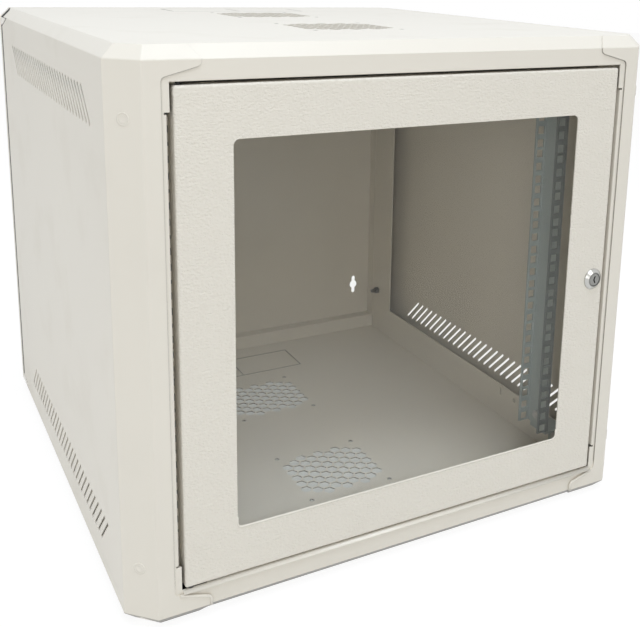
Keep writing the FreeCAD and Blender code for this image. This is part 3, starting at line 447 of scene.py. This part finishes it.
def bent(corners, level, radius, steps=8):
    """A path through (x, z) corners at depth `level`, with its bends rounded."""
    spots = [Vector((x, level, z)) for x, z in corners]
    path = [spots[0]]
    for before, corner, after in zip(spots, spots[1:], spots[2:]):
        back, on = (before - corner).normalized(), (after - corner).normalized()
        reach = radius / math.tan(back.angle(on) / 2)
        first, last = corner + back * reach, corner + on * reach
        for step in range(steps + 1):
            share = step / steps
            path.append(first.lerp(corner, share).lerp(corner.lerp(last, share), share))
    return path + [spots[-1]]


def round_section(radius, steps=12):
    turns = [2 * math.pi * step / steps for step in range(steps)]
    return [(radius * math.cos(t), radius * math.sin(t)) for t in turns]


print("sweeping helpers ready")

# %% [markdown]
# ## Rolled rims
#
# Where the real sheet is bent or cut, its edge isn't sharp: below the door
# the frame is rolled over into a sloping sill, the lower corner tabs have
# rounded rims, and so has the lower cut of the window.  All of them look up
# and catch the overhead light as fine bright lines.  Bevels on the sheets
# would do it too, but the sheets are finished parts and stay as they are.

# %% Sill, tab rims and window rim
SIDES = (("left", -1), ("right", 1))
SILL = (
    (0.0, -0.0020), (-0.0028, -0.0020), (-0.0033, -0.0017), (-0.0034, -0.0013),
    (-0.0031, -0.0009), (-0.0004, 0.0013), (0.0, 0.0013),
)
SILL_DROP, SILL_SPARE = 0.0034, 0.0020
SEAM, TAB_END = 0.258, 0.2225
TAB_ROOT_HEIGHT, TAB_END_HEIGHT, TAB_FOOT = 0.033, 0.022, 0.0125
TAB_RIM, WINDOW_RIM, RIM_SINK = 0.0016, 0.0012, 0.0001
WINDOW_SIDE, WINDOW_END, WINDOW_ROUND = 0.0527, 0.049, 0.006
SEAM_ROUND = 0.005

door_low, door_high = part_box("door_frame")
frame_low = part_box("front_frame")[0]
panel_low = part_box("left_side_panel")[0]

sill_height = door_low.z - SILL_DROP
sill_ends = (door_low.x - SILL_SPARE, door_high.x + SILL_SPARE)
sill_path = [Vector((x, frame_low.y, sill_height)) for x in sill_ends]
solid("sill_lip", *swept(SILL, sill_path), edge_coat, "body_paint", "cabinet")

for side, sign in SIDES:
    slope = (TAB_ROOT_HEIGHT - TAB_END_HEIGHT) / (SEAM - TAB_END)
    root = SEAM - SEAM_ROUND
    corners = (
        (sign * root, TAB_END_HEIGHT + slope * (root - TAB_END)),
        (sign * TAB_END, TAB_END_HEIGHT),
        (sign * TAB_END, TAB_FOOT),
    )
    rim_path = bent(corners, frame_low.y - TAB_RIM + RIM_SINK, SEAM_ROUND)
    rim = swept(round_section(TAB_RIM), rim_path)
    solid(f"tab_rim_{side}", *rim, edge_coat, "body_paint", "cabinet")

window_half, window_low = -door_low.x - WINDOW_SIDE, door_low.z + WINDOW_END
window_corners = (
    (-window_half, window_low + 2 * WINDOW_ROUND), (-window_half, window_low),
    (window_half, window_low), (window_half, window_low + 2 * WINDOW_ROUND),
)
cut_path = bent(window_corners, panel_low.y + WINDOW_RIM / 2, WINDOW_ROUND)
window_rim = swept(round_section(WINDOW_RIM), cut_path)
solid("window_rim", *window_rim, edge_coat, "body_paint", "door")
print("sill at", round(sill_height, 4), "m; window half width", round(window_half, 4), "m")

# %% [markdown]
# ## The lining at the rear
#
# Inside, the rear edges of the body are folded back to the rear panel, so
# that the rubber strip between them can't be seen.  Four thin plates would
# do, but their corners would overlap; here the lining is one sleeve, an outer
# and an inner rectangle joined at both ends.

# %% Rear lining
LINING = 0.0008
LINING_HALF, LINING_LOW = 0.2748, 0.0219
LINING_START, LINING_END = 0.2896, 0.3069


def flat(piece):
    """Shades every face of a piece flat, as on folded sheet."""
    faces = piece.data.polygons
    faces.foreach_set("use_smooth", [False] * len(faces))


def sleeve(half, low, high, start, end, thick):
    """Points and faces of a rectangular tube along y."""
    points, faces = [], []
    for grown in (0.0, thick):
        out, foot, head = half + grown, low - grown, high + grown
        for y in (start, end):
            points += [(-out, y, foot), (out, y, foot), (out, y, head), (-out, y, head)]
    inner_start, inner_end, outer_start, outer_end = range(0, len(points), 4)
    rings = (inner_start, inner_end, outer_end, outer_start, inner_start)
    for a, b in zip(rings, rings[1:]):
        faces += between(a, b, 4)
    return points, faces


lining_high = cad_high.z - LINING_LOW
lining = sleeve(LINING_HALF, LINING_LOW, lining_high, LINING_START, LINING_END, LINING)
flat(solid("rear_lining", *lining, edge_coat, "body_paint", "cabinet"))
print("lining", round((LINING_END - LINING_START) * 1000, 1), "mm deep")

# %% [markdown]
# ## Slot edges
#
# A punch rolls the sheet's edge over, so the lower edge of each side slot is
# round and shines.  Sixty bevels on a cut sheet are slow and fragile; a thin
# round bar along each edge looks the same, and one mesh holds all the bars
# of a panel.

# %% Slot rims
SLOT_ROWS = ((0.060, -1), (0.490, 1))
SLOT_FIRST, SLOT_PITCH, SLOT_COUNT = -0.2095, 0.0138, 30
SLOT_HALF_LENGTH, SLOT_HALF_WIDTH = 0.0232, 0.0017
SLOT_RIM, SLOT_RIM_SIDES = 0.0007, 8


def slot_rims(name, sign):
    """Round bars along the lower edges of all slots in one side panel."""
    outward = Vector((sign, 0, 0))
    rim_middle = sign * (cad_high.x - SLOT_RIM / 2)
    section = round_section(SLOT_RIM, SLOT_RIM_SIDES)
    count = len(section)
    points, faces = [], []
    for height, lean in SLOT_ROWS:
        run = Vector((0, lean, 1)).normalized()
        rise = Vector((0, -lean, 1)).normalized()
        for index in range(SLOT_COUNT):
            middle = Vector((rim_middle, SLOT_FIRST + index * SLOT_PITCH, height))
            edge = middle - rise * SLOT_HALF_WIDTH
            a, b = len(points), len(points) + count
            for end in (-SLOT_HALF_LENGTH, SLOT_HALF_LENGTH):
                points += [edge + run * end + outward * out + rise * up for out, up in section]
            faces += [tuple(range(a, b)), tuple(range(b, b + count))]
            faces += between(a, b, count)
    solid(name, points, faces, edge_coat, "body_paint", "cabinet")


for side, sign in SIDES:
    slot_rims(f"slot_rims_{side}", sign)
print(2 * len(SLOT_ROWS) * SLOT_COUNT, "slot rims")

# %% [markdown]
# ## Tray tabs
#
# The side panels are notched at their rear corners, and the rear tray reaches
# into the notches with flat tabs that leave a dark line round them.  A face
# could be drawn and extruded; here the outline is simply given twice, the
# thickness of the sheet apart, and the upper tabs are the lower ones turned
# over.

# %% Tray tabs
TRAY_TAB = ((0.2996, 0.0228), (0.2893, 0.0228), (0.2545, 0.0126), (0.2996, 0.0126))
TRAY_TAB_THICK = 0.0004

corner_count = len(TRAY_TAB)
tab_faces = [tuple(range(corner_count)), tuple(range(corner_count, 2 * corner_count))]
tab_faces += between(0, corner_count, corner_count)
for side, sign in SIDES:
    for level, flip in (("lower", False), ("upper", True)):
        points = [
            (sign * (cad_high.x - inset), y, cad_high.z - z if flip else z)
            for inset in (0.0, TRAY_TAB_THICK) for y, z in TRAY_TAB
        ]
        name = f"tray_tab_{side}_{level}"
        flat(solid(name, points, tab_faces, edge_coat, "body_paint", "cabinet"))
print("tray tabs", round((TRAY_TAB[0][0] - TRAY_TAB[2][0]) * 1000, 1), "mm long")

# %% [markdown]
# ## Weld marks
#
# On each bevelled front corner two studs were welded from inside, and the
# sheet shows them as low rings under the paint.  A bump in the finish could
# draw them, but real relief holds up at a low angle, so a small profile is
# spun about the corner's own normal.

# %% Weld rings
WELD_PROFILE = (
    (0.0005, 0.00010), (0.0026, 0.00010), (0.0034, 0.00045), (0.0041, 0.00010),
    (0.0046, 0.00010), (0.0054, 0.00060), (0.0061, 0.00005), (0.0063, -0.0003),
)
WELD_HEIGHTS = (0.064, 0.488)
CORNER_CUT = 0.026
WELD_TURNS = 40


def weld_ring(name, centre, normal):
    """Low rings, spun about the sheet's normal."""
    facing = normal.to_track_quat("Z", "Y").to_matrix().to_4x4()
    ground = Matrix.Translation(centre) @ facing
    points, faces = [], []
    count = len(WELD_PROFILE)
    for step in range(WELD_TURNS):
        turn = 2 * math.pi * step / WELD_TURNS
        for radius, rise in WELD_PROFILE:
            spot = Vector((radius * math.cos(turn), radius * math.sin(turn), rise))
            points.append(ground @ spot)
        a, b = step * count, (step + 1) % WELD_TURNS * count
        faces += [(a + i, a + i + 1, b + i + 1, b + i) for i in range(count - 1)]
    inner = [step * count for step in range(WELD_TURNS)]
    faces += [tuple(reversed(inner)), tuple(i + count - 1 for i in inner)]
    solid(name, points, faces, edge_coat, "body_paint", "cabinet")


for side, sign in SIDES:
    for index, height in enumerate(WELD_HEIGHTS):
        out = -panel_low.x - CORNER_CUT / 2
        middle = Vector((sign * out, panel_low.y + CORNER_CUT / 2, height))
        normal = Vector((sign, -1, 0)).normalized()
        weld_ring(f"weld_ring_{side}_{index + 1}", middle, normal)
print(2 * len(WELD_HEIGHTS), "weld rings")

# %% [markdown]
# ## The rails
#
# The rails and their brackets are a smoother, bluer grey than the body.
# Rolled strip keeps faint draw lines along its length under thin paint, so
# the noise is squeezed across the rail and drawn out along it.  The front
# flange is painted darker, as painted shade.

# %% Rail paint
RAIL_GREY = (0.42, 0.465, 0.455, 1.0)
ROLLED = (260.0, 260.0, 6.0)
FLANGE_SHADE_ENDS, FLANGE_SHADE_FULL = 0.0030, 0.0015
rail_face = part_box("rail_left")[0].y


def rail_paint():
    f = new_finish("rail_paint")
    lines = noise(f, lump=1.0, where=stretched(f, ROLLED), detail=3.0)
    skin = noise(f, lump=0.0016, detail=1.0)
    drift = noise(f, lump=0.12)
    paint = tinted(f, drift, shade(RAIL_GREY, 0.94), shade(RAIL_GREY, 1.06))
    lined = tinted(f, lines * 0.25, paint, shade(RAIL_GREY, 0.8))
    # Painted shade: the front flange is darkened.
    flange_shade = eased(f, along(f, Y), rail_face + FLANGE_SHADE_ENDS, rail_face + FLANGE_SHADE_FULL)
    return f.show(f.add("BsdfPrincipled", None, {
        "Base Color": tinted(f, flange_shade * 0.6, lined, shade(RAIL_GREY, 0.3)),
        "Metallic": 0.15,
        "Roughness": 0.34 + lines * 0.10 + drift * 0.05,
        "Normal": bumped(f, skin * 0.5 + lines * 0.5, depth=0.00006),
    }))


dress(
    rail_paint(), "rail_left", "rail_right",
    "rail_bracket_left_lower", "rail_bracket_left_upper",
    "rail_bracket_right_lower", "rail_bracket_right_upper",
)

# %% [markdown]
# ## Zinc
#
# Bolts, nuts, pins and clips are plated: a thin bright metal with cloudy
# grey-blue patches where the bath left it, and fine scratches from the bin
# they were stored in.  An even metal would look like foil, so both change
# the colour, the gloss and the bump.  The same plating is painted darker on
# the earth stud and nearly black on the hinges, as painted shade.

# %% Zinc plating
ZINC = (0.60, 0.605, 0.60, 1.0)
ZINC_CLOUD = (0.47, 0.485, 0.50, 1.0)
ZINC_SCRATCH = (0.75, 0.75, 0.74, 1.0)
SCRATCHED = (2400.0, 300.0, 500.0)
CLOUD_RANGE, SCRATCH_RANGE = (0.35, 0.70), (0.58, 0.66)


def zinc_plate(name, painted_shade_share):
    f = new_finish(name)
    cloudy = eased(f, noise(f, lump=0.006, detail=4.0), *CLOUD_RANGE)
    scratch = eased(f, noise(f, lump=1.0, where=stretched(f, SCRATCHED)), *SCRATCH_RANGE)
    metal = tinted(f, cloudy, shade(ZINC, 1 - painted_shade_share), shade(ZINC_CLOUD, 1 - painted_shade_share))
    return f.show(f.add("BsdfPrincipled", None, {
        "Base Color": tinted(f, scratch * 0.4, metal, shade(ZINC_SCRATCH, 1 - painted_shade_share)),
        "Metallic": 1.0,
        "Roughness": 0.28 + cloudy * 0.16 + scratch * 0.1,
        "Normal": bumped(f, cloudy * 0.4 - scratch * 0.5, depth=0.00004),
    }))


ZINC_PARTS = """
    back_bolts back_nuts rail_bolts rail_nuts bracket_bolts bracket_nuts
    glass_clip_left glass_clip_right glass_clip_lower glass_clip_upper
    glass_clip_nuts lock_nut lock_cam lock_cam_screw
""".split()
SHADED_HINGE_PARTS = """
    hinge_bracket_upper hinge_bracket_lower hinge_pin_upper hinge_pin_lower
""".split()
dress(zinc_plate("zinc_plate", painted_shade_share=0.0), *ZINC_PARTS)
# Painted shade: the earth stud's plating is darkened by half, the hinges' nearly to black.
dress(zinc_plate("half_shade_zinc", painted_shade_share=0.5), "earth_stud", "earth_nut")
dress(zinc_plate("deep_shade_zinc", painted_shade_share=0.95), *SHADED_HINGE_PARTS)

# %% [markdown]
# ## The lock
#
# The lock's rim and core are turned on a lathe and plated.  Turning leaves
# rings round the axis, too fine to model, so they are a wave of the distance
# from the axis that changes the bump by a breath.  The face has gone dull and
# the rim is brighter and smoother.  The gap round the core and the keyway are
# painted near black, as painted shade.

# %% Lock chrome
lock_low, lock_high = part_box("lock_core")
lock_axis = (lock_low + lock_high) / 2
CORE_RADIUS = (lock_high.x - lock_low.x) / 2
FACE_RADIUS, RIM_SOFT = 0.0080, 0.0008
GAP_UNSHADED, GAP_SHADED = 0.0005, 0.0001
KEYWAY_TOP, KEYWAY_DARK = 0.0003, 0.0008
KEYWAY_EDGE, KEYWAY_INNER = 0.0004, 0.0008
LATHE_RINGS = 12000.0
DULL_PLATE, DULL_HAZE = (0.33, 0.33, 0.315, 1.0), (0.24, 0.24, 0.23, 1.0)
BRIGHT_PLATE, LOCK_SHADE = (0.52, 0.52, 0.50, 1.0), (0.02, 0.02, 0.018, 1.0)


def chrome():
    f = new_finish("lock_chrome")
    offset = f.add("VectorMath", {"operation": "SUBTRACT"}, {
        0: place(f), 1: (lock_axis.x, 0.0, lock_axis.z),
    })
    sideways = f.add("VectorMath", {"operation": "MULTIPLY"}, {0: offset, 1: (1, 0, 1)})
    radius = f.add("VectorMath", {"operation": "LENGTH"}, {0: sideways}, out="Value")
    rings = f.add("Math", {"operation": "SINE"}, {0: radius * LATHE_RINGS})
    haze = noise(f, lump=0.003, detail=3.0)
    # Painted shade: the gap round the core and the keyway are darkened.
    gap = eased(f, abs(radius - CORE_RADIUS), GAP_UNSHADED, GAP_SHADED)
    well = eased(f, along(f, Y), lock_low.y + KEYWAY_TOP, lock_low.y + KEYWAY_DARK)
    keyway = well * eased(f, radius, CORE_RADIUS - KEYWAY_EDGE, CORE_RADIUS - KEYWAY_INNER)
    rim = eased(f, radius, FACE_RADIUS, FACE_RADIUS + RIM_SOFT)
    plate = tinted(f, rim, tinted(f, haze, DULL_PLATE, DULL_HAZE), BRIGHT_PLATE)
    return f.show(f.add("BsdfPrincipled", None, {
        "Base Color": tinted(f, gap.or_more(keyway), plate, LOCK_SHADE),
        "Metallic": 1.0,
        "Roughness": 0.16 + haze * 0.14 - rim * 0.08,
        "Normal": bumped(f, rings * 0.5 + haze * 0.3, depth=0.00002),
    }))


dress(chrome(), "lock_barrel", "lock_core")

# %% [markdown]
# ## Rubber, foam and nylon
#
# The strip behind the body is extruded rubber: black, dull, with a fine grain.
# A narrower strip of it hangs from the frame above the door and closes the
# gap there; its black stands for the shade in that gap, as painted shade.
# The tape that beds the pane is foam, so its bump is made of round cells.
# The hinge washer is moulded nylon with a waxy shine, coloured black as
# painted shade.  One black plastic for all would be quicker, but grain and
# gloss tell them apart.

# %% Soft parts
STOP_SECTION = ((0.0, 0.0), (0.0012, 0.0), (0.0012, -0.0040), (0.0, -0.0040))
STOP_HALF, STOP_BACK, FRAME_LIP = 0.235, 0.0188, 0.519
FOAM_CELL = 0.0009
BLOOM_RANGE = (0.45, 0.8)
RUBBER, RUBBER_BLOOM = (0.018, 0.018, 0.018, 1.0), (0.06, 0.06, 0.058, 1.0)
FOAM, FOAM_WALL = (0.02, 0.02, 0.02, 1.0), (0.055, 0.055, 0.055, 1.0)
# Painted shade: the washer's nylon is coloured near black.
NYLON, NYLON_FLOW = (0.045, 0.045, 0.045, 1.0), (0.06, 0.06, 0.058, 1.0)


def rubber():
    f = new_finish("seal_rubber")
    grain = noise(f, lump=0.0012, detail=3.0)
    bloom = eased(f, noise(f, lump=0.05, detail=3.0), *BLOOM_RANGE)
    return f.show(f.add("BsdfPrincipled", None, {
        "Base Color": tinted(f, bloom * 0.5, RUBBER, RUBBER_BLOOM),
        "Roughness": 0.62 + grain * 0.2,
        "Normal": bumped(f, grain, depth=0.0002),
    }))


def foam():
    f = new_finish("foam_tape")
    cells = f.add("TexVoronoi", None, {"Vector": place(f), "Scale": 1 / FOAM_CELL})
    return f.show(f.add("BsdfPrincipled", None, {
        "Base Color": tinted(f, cells, FOAM, FOAM_WALL),
        "Roughness": 0.85 + cells * 0.1,
        "Normal": bumped(f, cells, depth=0.0003),
    }))


def nylon():
    f = new_finish("washer_nylon")
    flow = noise(f, lump=0.004, detail=2.0)
    return f.show(f.add("BsdfPrincipled", None, {
        "Base Color": tinted(f, flow, NYLON, NYLON_FLOW),
        "Roughness": 0.38 + flow * 0.12,
        "Normal": bumped(f, flow, depth=0.00005),
    }))


seal_rubber = rubber()
dress(seal_rubber, "rear_gasket")
# Painted shade: the black stop fills the gap above the door.
stop_level = frame_low.y + STOP_BACK
stop_path = [Vector((x, stop_level, FRAME_LIP)) for x in (-STOP_HALF, STOP_HALF)]
flat(solid("door_stop", *swept(STOP_SECTION, stop_path), seal_rubber, "seal_rubber", "cabinet"))
dress(foam(), "glass_tape")
dress(nylon(), "hinge_washer")

# %% [markdown]
# ## The pane
#
# The door's pane is lightly smoked safety glass.  Glass in a path tracer
# stops the lamps, because a lamp's ray can't bend, and the inside of the
# cabinet would be black.  So rays that ask for shadow meet a plain tinted
# see-through surface, and all others meet real glass.  Its index is kept
# low: in an all-white room a full one would turn the pane milky.  Wiping
# marks make the gloss uneven, and the rolled surface is very slightly wavy.
# Towards the lower left a thin pale diffuse layer paints a reflection.

# %% Smoked glass
SMOKE = (0.91, 0.91, 0.89, 1.0)
# The colour of the painted reflection at the lower left of the pane.
REFLECTION_TINT = (0.74, 0.80, 0.84, 1.0)
REFLECTION_SHARE = 0.06
REFLECTION_HEIGHT, REFLECTION_SIDE = (0.36, 0.08), (0.22, -0.20)
WIPED_DOWN = (1.0, 1.0, 0.35)
WIPE_TINT, WIPE_DULL = (0.4, 0.8), (0.55, 0.85)
GLASS_INDEX = 1.22


def smoked_glass():
    f = new_finish("tinted_glass")
    wiped = noise(f, lump=0.08, where=stretched(f, WIPED_DOWN), detail=4.0)
    waves = noise(f, lump=0.16, detail=1.0)
    glass = f.add("BsdfPrincipled", None, {
        "Base Color": tinted(f, eased(f, wiped, *WIPE_TINT), SMOKE, shade(SMOKE, 0.97)),
        "Roughness": 0.004 + eased(f, wiped, *WIPE_DULL) * 0.02,
        "IOR": GLASS_INDEX,
        "Transmission Weight": 1.0,
        "Normal": bumped(f, waves, depth=0.0002, strength=0.3),
    })
    # Painted reflection: a pale diffuse layer over the lower left of the pane.
    reflection_area = eased(f, along(f, Z), *REFLECTION_HEIGHT) * eased(f, along(f, X), *REFLECTION_SIDE)
    reflection_layer = f.add("BsdfDiffuse", None, {"Color": REFLECTION_TINT})
    reflection_mix = reflection_area * (0.6 + wiped * 0.8) * REFLECTION_SHARE
    glass_and_reflection = f.add("MixShader", None, {0: reflection_mix, 1: glass, 2: reflection_layer})
    clear = f.add("BsdfTransparent", None, {"Color": tuple(c ** 0.5 for c in SMOKE)})
    lamp_ray = f.add("LightPath", out="Is Shadow Ray")
    return f.show(f.add("MixShader", None, {0: lamp_ray, 1: glass_and_reflection, 2: clear}))


dress(smoked_glass(), "door_glass")

# %% [markdown]
# ## The floor
#
# The picture shows the cabinet on pure white.  A white sheet lit until it
# burns out would wash out the cabinet too, so the floor is a wide pale disc
# that still catches a soft shadow: what the camera sees of it is part lit
# floor and part even white.  Under the cabinet nearly all of the white is
# left out, because there the floor shows only through the grilles, in shade.
# What little white is kept under the grilles is painted light.

# %% Floor
FLOOR_RADIUS = 9.0
FLOOR_DROP = 0.0004
OPEN_WHITE, GRILLE_PAINTED_LIGHT = 0.84, 0.14
UNDER_HALF, UNDER_NEAR, UNDER_FAR, UNDER_SOFT = 0.25, -0.26, 0.28, 0.02
PAPER, PALE_PAPER = (0.86, 0.86, 0.845, 1.0), (0.88, 0.88, 0.865, 1.0)
SHADED_PAPER = (0.61, 0.625, 0.605, 1.0)
BACKDROP = 1.08

ring = bmesh.new()
bmesh.ops.create_circle(ring, cap_ends=True, segments=96, radius=FLOOR_RADIUS)
floor_mesh = bpy.data.meshes.new("floor")
ring.to_mesh(floor_mesh)
ring.free()
floor = bpy.data.objects.new("floor", floor_mesh)
floor.location.z = cad_low.z - FLOOR_DROP
bpy.context.scene.collection.objects.link(floor)


def seen_directly(f):
    """1 for rays that should meet the white backdrop, else 0."""
    straight = f.add("LightPath", out="Is Camera Ray")
    gloss = f.add("LightPath", out="Is Glossy Ray")
    through = f.add("LightPath", out="Is Transmission Ray")
    return straight.or_more(gloss).or_more(through)


def pale_floor():
    f = new_finish("pale_floor")
    under = (
        inside(f, X, -UNDER_HALF, UNDER_HALF, UNDER_SOFT)
        * inside(f, Y, UNDER_NEAR, UNDER_FAR, UNDER_SOFT)
    )
    # Even white for the open floor, and painted light under the grilles.
    white_and_grille_light = (1 - under) * OPEN_WHITE + under * grilles(f, UNDER_SOFT) * GRILLE_PAINTED_LIGHT
    open_floor = tinted(f, noise(f, lump=0.4), PAPER, PALE_PAPER)
    # Painted shade: the paper under the cabinet is darker.
    lit = f.add("BsdfDiffuse", None, {"Color": tinted(f, under, open_floor, SHADED_PAPER)})
    white = f.add("Emission", None, {"Color": (1, 1, 1, 1), "Strength": BACKDROP})
    return f.show(f.add("MixShader", None, {0: seen_directly(f) * white_and_grille_light, 1: lit, 2: white}))


floor_mesh.materials.append(pale_floor())
print("floor radius", FLOOR_RADIUS, "m")

# %% [markdown]
# ## The world
#
# Behind the floor is a plain white room.  It is white to the camera, and to
# gloss and glass, and lights the cabinet at a little under half of that: an
# all-white room at full strength would leave no shade to tell one face from
# the next.

# %% World
AMBIENT = 0.43

world = bpy.data.worlds.new("studio")
bpy.context.scene.world = world
sky = Finish(world)
sky.show(sky.add("Background", None, {
    "Color": (1.0, 1.0, 1.0, 1.0),
    "Strength": AMBIENT + seen_directly(sky) * (1 - AMBIENT),
}))
print("world light", AMBIENT)

# %% [markdown]
# ## Lamps
#
# Four soft boxes: a wide cool one overhead, which makes the top the brightest
# face and picks out every edge that looks up, a weak warm one high in front,
# a small one at the left front that reaches the far wall through the pane,
# and one at the left for the side.  A lamp's power for a wanted brightness
# grows with the square of its distance, so the power is worked out.

# %% Soft boxes
TARGET = Vector((0.0, 0.0, 0.30))
COOL, PALE_COOL, WARM = (0.80, 0.885, 1.0), (0.95, 0.98, 1.0), (1.0, 0.975, 0.94)


def soft_box(name, spot, size, level, colour):
    """A square lamp at spot that lights TARGET at `level` of plain white."""
    lamp = bpy.data.lights.new(name, "AREA")
    lamp.shape, lamp.size, lamp.color = "SQUARE", size, colour
    reach = Vector(spot) - TARGET
    lamp.energy = math.pi ** 2 * level * reach.length_squared
    stand = bpy.data.objects.new(name, lamp)
    stand.location = spot
    stand.rotation_euler = reach.to_track_quat("Z", "Y").to_euler()
    bpy.context.scene.collection.objects.link(stand)
    print(name, round(lamp.energy, 1), "W")


soft_box("overhead", (-0.1, -0.75, 3.0), size=2.0, level=0.72, colour=COOL)
soft_box("front", (0.2, -2.2, 2.0), size=1.4, level=0.16, colour=WARM)
soft_box("left_front", (-1.4, -2.1, 0.8), size=1.0, level=0.11, colour=WARM)
soft_box("left", (-2.0, 0.3, 0.35), size=1.2, level=0.15, colour=PALE_COOL)
bpy.context.scene.view_settings.view_transform = "Standard"
